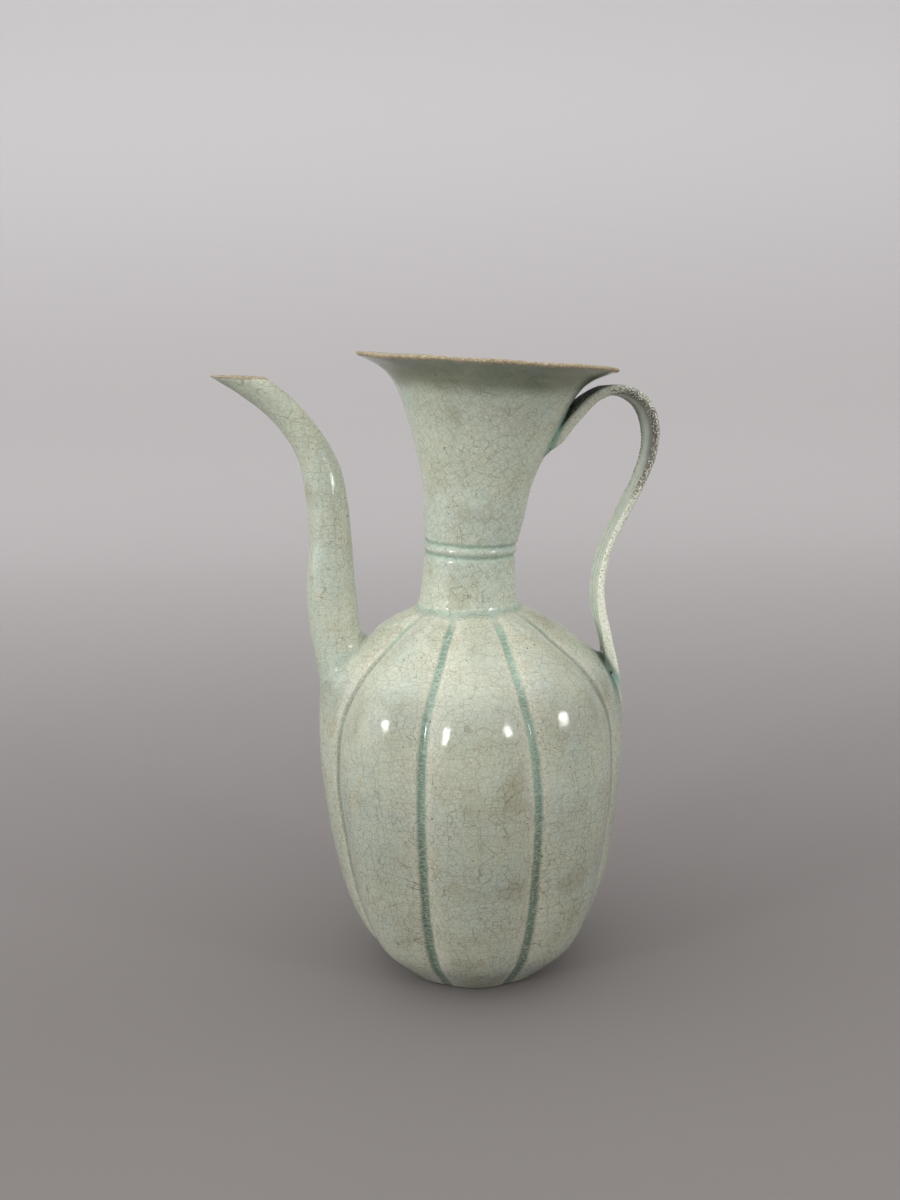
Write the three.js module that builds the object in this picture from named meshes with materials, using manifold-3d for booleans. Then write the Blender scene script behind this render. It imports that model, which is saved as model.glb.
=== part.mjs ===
// A melon-lobed porcelain ewer: eight-lobed hollow body, trumpet neck, S-curved
// hollow spout, strap handle, and the clay luting that joins them.
// Millimetres, +Z up. The foot stands on Z = 0 about the Z axis, the spout
// points to -X and the handle to +X.
import * as THREE from "three";
import Module from "manifold-3d";

// ---------------------------------------------------------------- dimensions
const LOBES = 8;
const GAP = 0.25; // clearance between neighbouring pieces
const WALL = 4.0; // body wall
const FLOOR_TOP = 6.5; // inside floor height
const BASE_RECESS = 1.2; // the base is hollowed by this much inside the foot
const FOOT_INNER = 25.0; // inner radius of the flat foot rim
const BODY_TOP = 160.0; // flat seat for the neck on the shoulder
const THROAT_R = 17.5; // radius of the hole in the shoulder under the neck
const NECK_BOTTOM = 160.3;
const NECK_WALL = 3.4;
const LIP = 2.3; // thickness of the mouth rim
const RIM_TOP = 265.2;
const GROOVE_DEPTH = 0.0773; // share of the radius, at the deepest
const SPOUT_HOLE_R = 5.6; // hole through the body wall behind the spout
const STRAP_WIDTH = 18.0;
// the shoulder swells a little at these lobes: [angle, millimetres], from SWELL_FROM up to its full size at SWELL_FULL
const SWELLS = [[272, 3.2], [88, 0.5], [0, 1.2], [318, 1.4], [42, 1.0]];
const SWELL_FROM = 147.0;
const SWELL_FULL = 156.0;

// outside of the body at the middle of a lobe: [height, radius]
const BODY = [
  [0, 32.7], [2.5, 35.4], [7, 40.4], [15, 48.3], [22, 52.2], [31, 55.7], [43, 59.3],
  [60, 62.3], [80, 64.9], [98, 66.1], [110, 66.0], [120, 64.7], [129, 61.9],
  [137, 57.1], [143.5, 50.6], [149, 43.6], [154, 36.6], [157.6, 30.8], [160, 25.6],
];
// outside of the neck: [height, radius]
const NECK = [
  [160.3, 21.6], [166, 20.7], [175, 19.8], [183.0, 19.3], [183.6, 19.3], [184.4, 18.75], [185.4, 18.75], [186.1, 19.3],
  [188.0, 19.5], [188.8, 19.0], [189.8, 19.1], [190.6, 19.75], [191.2, 19.8], [200, 21.0], [214, 23.0],
  [228, 27.4], [240, 31.7], [250, 36.1], [256, 39.9], [259.4, 43.8], [261.6, 48.4], [262.8, 52.0],
  [263.4, 53.4], [264.2, 53.9],
];
// the form that the bore is set in from, by NECK_WALL: [height, radius]
const BORE_FORM = [
  [160.3, 23.2], [166, 22.3], [175, 21.3], [191.2, 21.0], [200, 22.1], [214, 24.1], [228, 28.3], [240, 32.4],
  [250, 36.6], [256, 40.1], [259.4, 43.8], [261.6, 48.4], [263.6, 53.6],
];
const SPOUT = [
  // [x, z, outer radius, channel radius] along the centreline, root first
  [-44.0, 118.0, 10.0, 5.6], [-47.6, 124.5, 10.2, 5.6], [-51.4, 132.0, 10.4, 6.2], [-54.8, 141.0, 10.6, 6.8],
  [-57.2, 150.5, 10.8, 7.0], [-58.1, 159.0, 10.7, 6.9], [-58.4, 168.0, 10.5, 6.8], [-58.3, 178.0, 10.0, 6.5],
  [-57.9, 191.0, 9.2, 6.1], [-58.2, 202.0, 8.8, 5.8], [-59.1, 212.0, 8.45, 5.5], [-60.6, 220.5, 8.0, 5.2],
  [-63.0, 228.5, 7.4, 4.9], [-66.2, 235.0, 6.95, 4.7], [-69.9, 240.2, 6.7, 4.5], [-74.0, 245.2, 6.4, 4.3],
  [-79.2, 250.4, 6.1, 4.1], [-85.6, 255.6, 6.0, 4.0], [-93.0, 260.8, 6.05, 4.0], [-102.0, 267.0, 6.2, 4.1],
];
// the spout's mouth plane passes these two points, x and z
const MOUTH_CUT = [[-103.8, 261.4], [-82.4, 260.1]];
const STRAP = [
  // [x, z, thickness, twist in degrees] along the centreline, from the neck over the arch to the shoulder
  [35.4, 232.2, 4.2, -12], [38.2, 234.4, 4.3, -11.6], [41.8, 238.95, 4.2, -9.7], [46, 243.05, 4.1, -7.6], [50.3, 247.05, 4.1, -4.4],
  [54.65, 249.9, 4, -0.7], [58.9, 251.25, 4, 2.1], [63.1, 251.4, 3.95, 5], [67.45, 250.4, 3.9, 7.4], [71.5, 247.8, 3.9, 8.2],
  [74.8, 243.75, 3.8, 8.4], [76.7, 238.8, 3.6, 8.4], [77.4, 233.8, 3.3, 7.9], [77.15, 228.6, 3, 6.5], [76.2, 223.3, 3, 4.7],
  [74.3, 217.8, 3, 3], [71.95, 212.3, 3, 1.7], [69.2, 206.9, 3, 0.8], [66.4, 201.5, 3, 0.5], [63.6, 196, 3, 0.5],
  [60.85, 190.8, 3.1, 0.7], [58.65, 185.2, 3.1, 0.7], [56.9, 179.5, 3.2, 1.2], [55.6, 173.8, 3.2, 2.2], [55.05, 167.9, 3.3, 3.3],
  [55.2, 161.9, 3.4, 4], [56.05, 155.9, 3.6, 3.7], [57.5, 150.1, 3.8, 2.6], [58.8, 144.2, 4, 1.3], [60, 138.3, 4.2, 0.3],
  [61.1, 132.6, 4.4, 0], [61.7, 127.2, 4.4, 0],
];
// lean of the neck: [height, the outside's shift to +X, slope down to +X, slope up to -Y, the bore's shift to +X]
const LEAN = [
  [160, -0.5, 0, 0, 0], [170, -0.05, 0.022, 0.009, 0.4], [178, 0.45, 0.041, 0.016, 0.72], [185, 1.05, 0.056, 0.022, 1.1], [200, 2.8, 0.064, 0.035, 2.7],
  [215, 4.65, 0.073, 0.036, 4.6], [230, 6.4, 0.079, 0.037, 6.7], [245, 7.95, 0.084, 0.038, 8.4],
  [257, 9.1, 0.088, 0.038, 9.3], [265, 9.8, 0.091, 0.038, 9.8],
];

// ------------------------------------------------------------------- helpers
const wasm = await Module();
wasm.setup();
const { Manifold, Mesh } = wasm;

// monotone cubic through a table of rows, column 0 is the parameter
function table(rows, column) {
  const n = rows.length;
  const x = rows.map((r) => r[0]);
  const y = rows.map((r) => r[column]);
  const d = [];
  for (let i = 0; i < n - 1; i++) d.push((y[i + 1] - y[i]) / (x[i + 1] - x[i]));
  const m = [d[0]];
  for (let i = 1; i < n - 1; i++) {
    const a = d[i - 1];
    const b = d[i];
    if (a * b <= 0) m.push(0);
    else {
      const h0 = x[i] - x[i - 1];
      const h1 = x[i + 1] - x[i];
      const w1 = 2 * h1 + h0;
      const w2 = h1 + 2 * h0;
      m.push((w1 + w2) / (w1 / a + w2 / b));
    }
  }
  m.push(d[n - 2]);
  return (t) => {
    if (t <= x[0]) return y[0];
    if (t >= x[n - 1]) return y[n - 1];
    let i = 0;
    while (t > x[i + 1]) i++;
    const h = x[i + 1] - x[i];
    const s = (t - x[i]) / h;
    return (
      y[i] * (1 + 2 * s) * (1 - s) ** 2 +
      h * m[i] * s * (1 - s) ** 2 +
      y[i + 1] * s * s * (3 - 2 * s) +
      h * m[i + 1] * s * s * (s - 1)
    );
  };
}

// closed skin over rings of equal length; null at an end means the ends join in a loop
function skin(rings, start, end) {
  const n = rings[0].length;
  const v = rings.flat();
  const f = [];
  const joined = start === null;
  const last = joined ? rings.length : rings.length - 1;
  for (let i = 0; i < last; i++) {
    const a = i * n;
    const b = ((i + 1) % rings.length) * n;
    for (let j = 0; j < n; j++) {
      const k = (j + 1) % n;
      f.push([a + j, a + k, b + k], [a + j, b + k, b + j]);
    }
  }
  if (!joined) {
    const s = v.push(start) - 1;
    const e = v.push(end) - 1;
    const top = (rings.length - 1) * n;
    for (let j = 0; j < n; j++) {
      const k = (j + 1) % n;
      f.push([s, k, j], [e, top + j, top + k]);
    }
  }
  return solid(v, f);
}

// signed volume decides which way the faces are written
function solid(v, f) {
  let vol = 0;
  for (const [a, b, c] of f) {
    const [A, B, C] = [v[a], v[b], v[c]];
    vol += A[0] * (B[1] * C[2] - B[2] * C[1]) + A[1] * (B[2] * C[0] - B[0] * C[2]) + A[2] * (B[0] * C[1] - B[1] * C[0]);
  }
  const tri = vol > 0 ? f : f.map(([a, b, c]) => [a, c, b]);
  return new Manifold(
    new Mesh({ numProp: 3, vertProperties: new Float32Array(v.flat()), triVerts: new Uint32Array(tri.flat()) }),
  );
}

// the biggest connected body
function biggest(m) {
  return m.decompose().sort((a, b) => b.volume() - a.volume())[0];
}

function toMesh(m, name, material) {
  const g = m.getMesh();
  const pos = new Float32Array(g.numVert * 3);
  for (let i = 0; i < g.numVert; i++) pos.set(g.vertProperties.subarray(i * g.numProp, i * g.numProp + 3), i * 3);
  const geometry = new THREE.BufferGeometry();
  geometry.setAttribute("position", new THREE.BufferAttribute(pos, 3));
  geometry.setIndex(new THREE.BufferAttribute(new Uint32Array(g.triVerts), 1));
  geometry.computeVertexNormals();
  const mesh = new THREE.Mesh(geometry, material);
  mesh.name = name;
  return mesh;
}

const rad = (deg) => (deg * Math.PI) / 180;

// ---------------------------------------------------------------------- body
const bodyR = table(BODY, 1);
const grooveShare = table(
  [[0, 0.3], [6, 0.6], [20, 0.9], [60, 1], [110, 1.02], [130, 1.2], [149, 1.42], [155, 1.4], [160, 0.9]], 1,
);
// angle 0 faces -Y and 90 faces +X; a lobe's middle lies on each axis
function lobeFactor(angle, z, share) {
  const w = Math.abs(Math.cos((LOBES / 2) * angle));
  return 1 - share * GROOVE_DEPTH * grooveShare(z) * (1 - w) ** 2.2;
}
function swell(angle, z) {
  const t = Math.min(1, Math.max(0, (z - SWELL_FROM) / (SWELL_FULL - SWELL_FROM)));
  const up = t * t * (3 - 2 * t);
  let sum = 0;
  for (const [at, most] of SWELLS) {
    const off = ((((angle * 180) / Math.PI - at + 540) % 360) - 180) / 26;
    if (Math.abs(off) < 1) sum += most * up * Math.cos((off * Math.PI) / 2) ** 2;
  }
  return sum;
}
// samples per lobe are closer together at the groove
const LOBE_STEPS = [0, 8, 14, 18.2, 20.9, 22.5, 24.1, 26.8, 31, 37];
const bodyAngles = [];
for (let k = 0; k < LOBES; k++) for (const s of LOBE_STEPS) bodyAngles.push(rad(k * 45 + s));

function bodyRing(z, r, share) {
  return bodyAngles.map((a) => {
    const q = r * lobeFactor(a, z, share) + (share > 0 ? swell(a, z) : 0);
    return [q * Math.sin(a), -q * Math.cos(a), z];
  });
}

// the outside of the body grown by e, as one solid block
function bodyBlock(e) {
  const rings = [];
  const zs = BODY.map((row) => row[0]);
  zs.forEach((z, i) => {
    const slope = (bodyR(Math.min(z + 0.5, BODY_TOP)) - bodyR(Math.max(z - 0.5, 0))) / (Math.min(z + 0.5, BODY_TOP) - Math.max(z - 0.5, 0));
    const k = 1 / Math.hypot(1, slope);
    const last = i === zs.length - 1;
    const r = bodyR(z) + e * (last ? 1 : k);
    const h = last ? z + e : z - e * slope * k;
    rings.push(
      bodyAngles.map((a) => {
        const q = r * lobeFactor(a, z, 1) + swell(a, z);
        return [q * Math.sin(a), -q * Math.cos(a), i === 0 ? -e : h];
      }),
    );
  });
  return skin(rings, [0, 0, -e], [0, 0, BODY_TOP + e]);
}

function bodyShell() {
  const rings = [];
  rings.push(bodyRing(BASE_RECESS, FOOT_INNER - 1.5, 0));
  rings.push(bodyRing(0, FOOT_INNER, 0));
  for (const [z, r] of BODY) rings.push(bodyRing(z, r, 1));
  rings.push(bodyRing(BODY_TOP, THROAT_R, 0));
  // inside: the outer profile moved in along its normal
  const inner = [];
  for (const z of [158.0, 155, 151, 145, 138, 129, 117, 100, 80, 60, 43, 31, 22, 15]) {
    const slope = (bodyR(z + 0.5) - bodyR(z - 0.5)) / 1.0;
    const k = 1 / Math.hypot(1, slope);
    inner.push([bodyR(z) - WALL * k, z + WALL * slope * k]);
  }
  rings.push(bodyRing(BODY_TOP - 3.6, THROAT_R, 0));
  for (const [r, z] of inner) if (z < BODY_TOP - 5.2 && z > FLOOR_TOP + 2.5 && r > THROAT_R + 1.5) rings.push(bodyRing(z, r, 0.9));
  rings.push(bodyRing(FLOOR_TOP + 0.8, 36, 0.6));
  rings.push(bodyRing(FLOOR_TOP, 30, 0.3));
  return skin(rings, [0, 0, BASE_RECESS], [0, 0, FLOOR_TOP]);
}

// ---------------------------------------------------------------------- neck
const leanX = table(LEAN, 1);
const leanSlope = table(LEAN, 2);
const leanFront = table(LEAN, 3);
const boreX = table(LEAN, 4);
const NECK_SIDES = 40;
function neckRing(r, z, shift = leanX) {
  const out = [];
  for (let j = 0; j < NECK_SIDES; j++) {
    const a = (2 * Math.PI * j) / NECK_SIDES;
    const x = r * Math.sin(a);
    const y = -r * Math.cos(a);
    out.push([x + shift(z), y, z - x * leanSlope(z) - y * leanFront(z)]);
  }
  return out;
}

function offsetProfile(rows, t) {
  return rows.map((row, i) => {
    const a = rows[Math.max(i - 1, 0)];
    const b = rows[Math.min(i + 1, rows.length - 1)];
    const dz = b[0] - a[0];
    const dr = b[1] - a[1];
    const l = Math.hypot(dz, dr);
    const d = typeof t === "function" ? t(row[0]) : t;
    return [row[0] - (dr / l) * d, row[1] + (dz / l) * d];
  });
}

function neckShell() {
  const outer = NECK.map(([z, r]) => neckRing(r, z));
  const wall = (z) => -(z > 250 ? NECK_WALL + ((z - 250) / 15) * (LIP - NECK_WALL) : NECK_WALL);
  const inner = offsetProfile(BORE_FORM, wall)
    .map(([z, r], i, all) => (i === 0 ? [NECK_BOTTOM, THROAT_R + 0.6] : i === all.length - 1 ? [RIM_TOP, 52.6] : [z, r]))
    .reverse()
    .map(([z, r]) => neckRing(r, z, boreX));
  return skin([...outer, ...inner], null, null);
}

function neckBlock(e) {
  const rows = NECK.filter(([z]) => z <= 183 || z > 191);
  const moved = offsetProfile([[150, 21.6], ...rows, [272, 60]], e);
  const rings = moved.map(([z, r]) => neckRing(r, z));
  return skin(rings, [0, 0, moved[0][0]], [leanX(272), 0, moved[moved.length - 1][0]]);
}

// ------------------------------------------------- swept pieces in the XZ plane
// frames along the rows' first two columns
function frames(rows) {
  return rows.map((row, i) => {
    const a = rows[Math.max(i - 1, 0)];
    const b = rows[Math.min(i + 1, rows.length - 1)];
    const l = Math.hypot(b[0] - a[0], b[1] - a[1]);
    const t = [(b[0] - a[0]) / l, (b[1] - a[1]) / l];
    return { row, t, n: [-t[1], t[0]] };
  });
}

function tube(rows, column, grow, sides) {
  const fr = frames(rows);
  const rings = fr.map(({ row, n }) => {
    const r = row[column] + grow;
    const out = [];
    for (let j = 0; j < sides; j++) {
      const a = (2 * Math.PI * (j + 0.5)) / sides;
      const u = r * Math.cos(a);
      out.push([row[0] + n[0] * u, r * Math.sin(a), row[1] + n[1] * u]);
    }
    return out;
  });
  const s = rows[0];
  const e = rows[rows.length - 1];
  return skin(rings, [s[0], 0, s[1]], [e[0], 0, e[1]]);
}

// strap section: rounded edges, three shallow flutes along the inner face
function strapSection(w, t, flute) {
  const h = w / 2;
  const k = t / 2;
  const c = Math.min(1.5, k * 0.7);
  const pts = [];
  // outer face, +n
  pts.push([-h + c, k], [-h * 0.4, k], [h * 0.4, k], [h - c, k]);
  pts.push([h - c * 0.3, k - c * 0.3], [h, k - c], [h, -k + c], [h - c * 0.3, -k + c * 0.3]);
  // inner face, -n, with flutes
  const m = 6;
  for (let i = 0; i <= m; i++) {
    const y = (h - c) * (1 - (2 * i) / m);
    pts.push([y, -k + (i % 2 ? flute : 0)]);
  }
  pts.push([-h + c * 0.3, -k + c * 0.3], [-h, -k + c], [-h, k - c], [-h + c * 0.3, k - c * 0.3]);
  return pts;
}

function strap(grow) {
  const fr = frames(STRAP);
  const rings = fr.map(({ row, n }) => {
    const twist = rad(row[3]);
    const c = Math.cos(twist);
    const s = Math.sin(twist);
    // n points to the outside of the arch
    return strapSection(STRAP_WIDTH + 2 * grow, row[2] + 2 * grow, grow ? 0 : 0.5).map(([y, k]) => {
      const across = y * c + k * s;
      const out = k * c - y * s;
      return [row[0] + n[0] * out, across, row[1] + n[1] * out];
    });
  });
  const a = STRAP[0];
  const b = STRAP[STRAP.length - 1];
  return skin(rings, [a[0], 0, a[1]], [b[0], 0, b[1]]);
}

// --------------------------------------------------------------------- build
const bodyGrown = bodyBlock(GAP);
const neckGrown = neckBlock(GAP);

// spout: tube less its channel, less the body, cut level at the mouth
const sides = 24;
const outerTube = tube(SPOUT, 2, 0, sides);
const channel = tube(SPOUT, 3, 0, sides);
const [[ax, az], [bx, bz]] = MOUTH_CUT;
const cutL = Math.hypot(bx - ax, bz - az);
const cutN = [(az - bz) / cutL, (bx - ax) / cutL]; // points up
const cutD = ax * cutN[0] + az * cutN[1];
const belowCut = (m) => m.trimByPlane([-cutN[0], 0, -cutN[1]], -cutD);
const spoutSolid = biggest(belowCut(outerTube).subtract(channel).subtract(bodyGrown));

// body: shell with the hole behind the spout
const holeRows = SPOUT.slice(0, 5).map((row) => [row[0], row[1], SPOUT_HOLE_R, SPOUT_HOLE_R]);
const hole = tube([[-30, 98, SPOUT_HOLE_R, SPOUT_HOLE_R], ...holeRows], 2, 0, 20);
const bodySolid = biggest(bodyShell().subtract(hole));

const neckSolid = neckShell();

// handle: the strap cut to the neck and to the body
const strapSolid = biggest(strap(0).subtract(neckGrown).subtract(bodyGrown));

// luting round the foot of the neck
const lutingRows = [
  [19.6, 156.8], [29.0, 156.8], [28.6, 159.6], [25.9, 160.8], [24.0, 162.3], [22.8, 164.2], [21.9, 166.8], [19.6, 166.8],
];
const neckLuting = biggest(
  skin(lutingRows.map(([r, z]) => neckRing(r, z)), null, null).subtract(neckGrown).subtract(bodyGrown),
);

// luting round the root of the spout, carried down over the front of the lobe
const COLLAR = [
  [-57.9, 156.5, 11.5], [-57.3, 152.0, 12.1], [-56.0, 146.5, 13.0], [-54.0, 140.5, 14.0], [-51.8, 133.0, 15.8],
  [-48.6, 124.5, 18.3], [-45.2, 116.5, 20.2],
];
const spoutLuting = biggest(
  tube(COLLAR, 2, 0, 28).subtract(tube(SPOUT, 2, GAP, sides)).subtract(bodyGrown),
);

// luting pads at the two ends of the handle
function pad(points, radius) {
  const balls = points.map(([x, y, z]) => Manifold.sphere(radius, 16).translate([x, y, z]));
  return Manifold.hull(balls);
}
const strapGrown = strap(GAP);
const upperLuting = biggest(
  pad([[36.4, 7.9, 237.2], [36.4, -7.9, 237.2], [34.9, 7.4, 233.2], [34.9, -7.4, 233.2]], 5.2)
    .subtract(strapGrown).subtract(neckGrown),
);
const lowerLuting = biggest(
  pad([[56.6, 8.0, 140.2], [56.6, -8.0, 140.2], [60.0, 8.4, 128.6], [60.0, -8.4, 128.6]], 4.7)
    .subtract(strapGrown).subtract(bodyGrown),
);

const glaze = new THREE.MeshStandardMaterial({ color: 0xb7bdab, roughness: 0.25 });
const clay = new THREE.MeshStandardMaterial({ color: 0xa9b09a, roughness: 0.3 });

const ewer = new THREE.Group();
ewer.name = "ewer";
ewer.add(
  toMesh(bodySolid, "body", glaze),
  toMesh(neckSolid, "neck", glaze),
  toMesh(spoutSolid, "spout", glaze),
  toMesh(strapSolid, "handle", glaze),
  toMesh(neckLuting, "neck_luting", clay),
  toMesh(spoutLuting, "spout_luting", clay),
  toMesh(upperLuting, "handle_upper_luting", clay),
  toMesh(lowerLuting, "handle_lower_luting", clay),
);

export default ewer;
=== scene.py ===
import math

import bpy
import numpy as np
from mathutils import Matrix, Vector


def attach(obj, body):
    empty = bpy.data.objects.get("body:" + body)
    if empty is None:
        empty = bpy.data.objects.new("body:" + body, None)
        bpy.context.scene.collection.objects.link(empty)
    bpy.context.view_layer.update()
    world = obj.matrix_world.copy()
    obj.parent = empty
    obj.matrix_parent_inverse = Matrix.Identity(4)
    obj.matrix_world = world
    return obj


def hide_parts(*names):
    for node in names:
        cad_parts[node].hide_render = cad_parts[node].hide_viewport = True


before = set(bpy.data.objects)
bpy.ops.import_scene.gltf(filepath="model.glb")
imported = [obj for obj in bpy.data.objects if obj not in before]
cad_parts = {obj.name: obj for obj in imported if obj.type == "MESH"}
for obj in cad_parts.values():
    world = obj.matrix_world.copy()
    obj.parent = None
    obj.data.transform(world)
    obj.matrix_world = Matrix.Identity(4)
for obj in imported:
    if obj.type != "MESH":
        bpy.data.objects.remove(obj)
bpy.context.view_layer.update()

MM = 0.001
rad = math.radians

# ------------------------------------------------------------------ shape data
BODY = np.array([
    [0, 32.7], [2.5, 35.4], [7, 40.4], [15, 48.3], [22, 52.2], [31, 55.7], [43, 59.3],
    [60, 62.3], [80, 64.9], [98, 66.1], [110, 66.0], [120, 64.7], [129, 61.9],
    [137, 57.1], [143.5, 50.6], [149, 43.6], [154, 36.6], [157.6, 30.8], [160, 25.6],
    [162, 20.5], [164.5, 13.0],
])
NECK = np.array([
    [154.0, 23.0], [160.3, 21.6], [166, 20.7], [175, 19.8], [183, 19.3], [191.2, 19.8], [200, 21.0], [214, 23.0],
    [228, 27.4], [240, 31.7], [250, 36.1], [256, 39.9], [259.4, 43.8], [261.6, 48.4], [262.8, 52.0], [263.4, 53.4],
])
# the form that the neck's bore is set in from
BORE_FORM = np.array([
    [154.0, 24.6], [160.3, 23.2], [166, 22.3], [175, 21.3], [191.2, 21.0], [200, 22.1], [214, 24.1],
    [228, 28.3], [240, 32.4], [250, 36.6], [256, 40.1], [259.4, 43.8], [261.6, 48.4], [262.8, 52.0], [263.4, 53.4],
])
LEAN = np.array([
    [154, -0.5, 0, 0], [160, -0.5, 0, 0], [170, -0.05, 0.022, 0.009], [178, 0.45, 0.041, 0.016], [185, 1.05, 0.056, 0.022],
    [200, 2.8, 0.064, 0.035], [215, 4.65, 0.073, 0.036], [230, 6.4, 0.079, 0.037], [245, 7.95, 0.084, 0.038],
    [257, 9.1, 0.088, 0.038], [265, 9.8, 0.091, 0.038], [266, 9.8, 0.091, 0.038],
])
SPOUT = np.array([
    [-44.0, 118.0, 10.0, 5.6], [-47.6, 124.5, 10.2, 5.6], [-51.4, 132.0, 10.4, 6.2], [-54.8, 141.0, 10.6, 6.8],
    [-57.2, 150.5, 10.8, 7.0], [-58.1, 159.0, 10.7, 6.9], [-58.4, 168.0, 10.5, 6.8], [-58.3, 178.0, 10.0, 6.5],
    [-57.9, 191.0, 9.2, 6.1], [-58.2, 202.0, 8.8, 5.8], [-59.1, 212.0, 8.45, 5.5], [-60.6, 220.5, 8.0, 5.2],
    [-63.0, 228.5, 7.4, 4.9], [-66.2, 235.0, 6.95, 4.7], [-69.9, 240.2, 6.7, 4.5], [-74.0, 245.2, 6.4, 4.3],
    [-79.2, 250.4, 6.1, 4.1], [-85.6, 255.6, 6.0, 4.0], [-93.0, 260.8, 6.05, 4.0], [-102.0, 267.0, 6.2, 4.1],
])
MOUTH_A, MOUTH_B = (-103.8, 261.4), (-82.4, 260.1)
STRAP = np.array([
    [31.6, 230.2, 3.4, -12], [35.4, 232.2, 4.2, -12], [38.2, 234.4, 4.3, -11.6], [41.8, 238.95, 4.2, -9.7], [46, 243.05, 4.1, -7.6],
    [50.3, 247.05, 4.1, -4.4], [54.65, 249.9, 4, -0.7], [58.9, 251.25, 4, 2.1], [63.1, 251.4, 3.95, 5], [67.45, 250.4, 3.9, 7.4],
    [71.5, 247.8, 3.9, 8.2], [74.8, 243.75, 3.8, 8.4], [76.7, 238.8, 3.6, 8.4], [77.4, 233.8, 3.3, 7.9], [77.15, 228.6, 3, 6.5],
    [76.2, 223.3, 3, 4.7], [74.3, 217.8, 3, 3], [71.95, 212.3, 3, 1.7], [69.2, 206.9, 3, 0.8], [66.4, 201.5, 3, 0.5],
    [63.6, 196, 3, 0.5], [60.85, 190.8, 3.1, 0.7], [58.65, 185.2, 3.1, 0.7], [56.9, 179.5, 3.2, 1.2], [55.6, 173.8, 3.2, 2.2],
    [55.05, 167.9, 3.3, 3.3], [55.2, 161.9, 3.4, 4], [56.05, 155.9, 3.6, 3.7], [57.5, 150.1, 3.8, 2.6], [58.8, 144.2, 4, 1.3],
    [60, 138.3, 4.2, 0.3], [61.1, 132.6, 4.4, 0], [61.7, 127.2, 4.4, 0], [61.6, 121.5, 4.2, 0], [61.1, 115.5, 4, 0],
])
STRAP_WIDTH = 18.0
STRAP_START = 7.9  # path length of the hidden tail before the strap leaves the neck
WALL = 4.0
# the eight grooves: azimuth in degrees (0 faces -Y, 90 faces +X) down the height
GROOVES = [
    [(0, -24.5), (20, -24.7), (50, -23.5), (75, -22.7), (100, -21.8), (125, -20.7), (142, -18.9), (160, -18.2)],
    [(0, 21.0), (18, 21.5), (50, 22.6), (80, 22.9), (108, 21.8), (122, 20.7), (135, 19.7), (145, 20.0), (155, 21.8), (160, 23.5)],
    [(0, 69.0), (60, 71.5), (80, 71.5), (105, 69.5), (122, 67.5), (131, 65.3), (141, 62.6), (148, 60.0), (155, 57.8), (160, 57.5)],
    [(0, 112.5), (100, 113.0), (160, 114.0)],
    [(0, 157.5), (100, 157.0), (160, 156.0)],
    [(0, 202.5), (100, 203.0), (160, 203.5)],
    [(0, 247.5), (100, 248.5), (160, 249.0)],
    [(0, 291.0), (60, 291.0), (85, 290.5), (110, 294.0), (121, 295.0), (131, 297.3), (141, 298.8), (150, 300.0), (160, 301.5)],
]
DEPTH = np.array([[0, 0.9], [4, 2.0], [10, 3.2], [22, 4.3], [60, 4.8], [110, 5.1], [130, 5.9], [141, 5.8], [149, 4.9], [156, 3.7], [160, 2.5], [166, 1.4]])
# where lobes swell at the shoulder: azimuth and mm
SWELLS = [(272, 3.2), (88, 0.5), (0, 1.2), (318, 1.4), (42, 1.0)]


# ------------------------------------------------------------------ maths
def pchip(xs, ys):
    """A monotone cubic through the points, flat beyond the ends' values."""
    xs, ys = np.asarray(xs, float), np.asarray(ys, float)
    h, d = np.diff(xs), np.diff(ys) / np.diff(xs)
    m = np.empty_like(ys)
    m[0], m[-1] = d[0], d[-1]
    for i in range(1, len(xs) - 1):
        a, b = d[i - 1], d[i]
        if a * b <= 0:
            m[i] = 0
        else:
            w1, w2 = 2 * h[i] + h[i - 1], h[i] + 2 * h[i - 1]
            m[i] = (w1 + w2) / (w1 / a + w2 / b)

    def f(t):
        t = np.clip(np.asarray(t, float), xs[0], xs[-1])
        i = np.clip(np.searchsorted(xs, t, side="right") - 1, 0, len(xs) - 2)
        s = (t - xs[i]) / h[i]
        return (
            ys[i] * (1 + 2 * s) * (1 - s) ** 2 + h[i] * m[i] * s * (1 - s) ** 2
            + ys[i + 1] * s * s * (3 - 2 * s) + h[i] * m[i + 1] * s * s * (s - 1)
        )
    return f


def smoothed(xs, ys, sigma, step=0.25):
    """The same curve rounded by a running mean, so that shine runs smoothly over it."""
    f = pchip(xs, ys)
    t = np.arange(xs[0], xs[-1] + step / 2, step)
    v = f(t)
    n = int(3 * sigma / step)
    k = np.exp(-0.5 * (np.arange(-n, n + 1) * step / sigma) ** 2)
    k /= k.sum()
    lo, hi = 2 * v[0] - v[1:n + 1][::-1], 2 * v[-1] - v[-n - 1:-1][::-1]
    out = np.convolve(np.concatenate([lo, v, hi]), k, mode="valid")
    return lambda q: np.interp(q, t, out)


def smoothstep(a, b, x):
    t = np.clip((x - a) / (b - a), 0, 1)
    return t * t * (3 - 2 * t)


def wobble(p, seed, size, count=7):
    """A smooth random field of about -1 to 1 over points p, with bumps of about size mm."""
    rng = np.random.default_rng(seed)
    out = np.zeros(len(p))
    for _ in range(count):
        d = rng.normal(size=3)
        d *= 2 * math.pi / (size * rng.uniform(0.7, 1.5)) / np.linalg.norm(d)
        out += np.sin(p @ d + rng.uniform(0, 2 * math.pi))
    return out / math.sqrt(count / 1.2)


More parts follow.
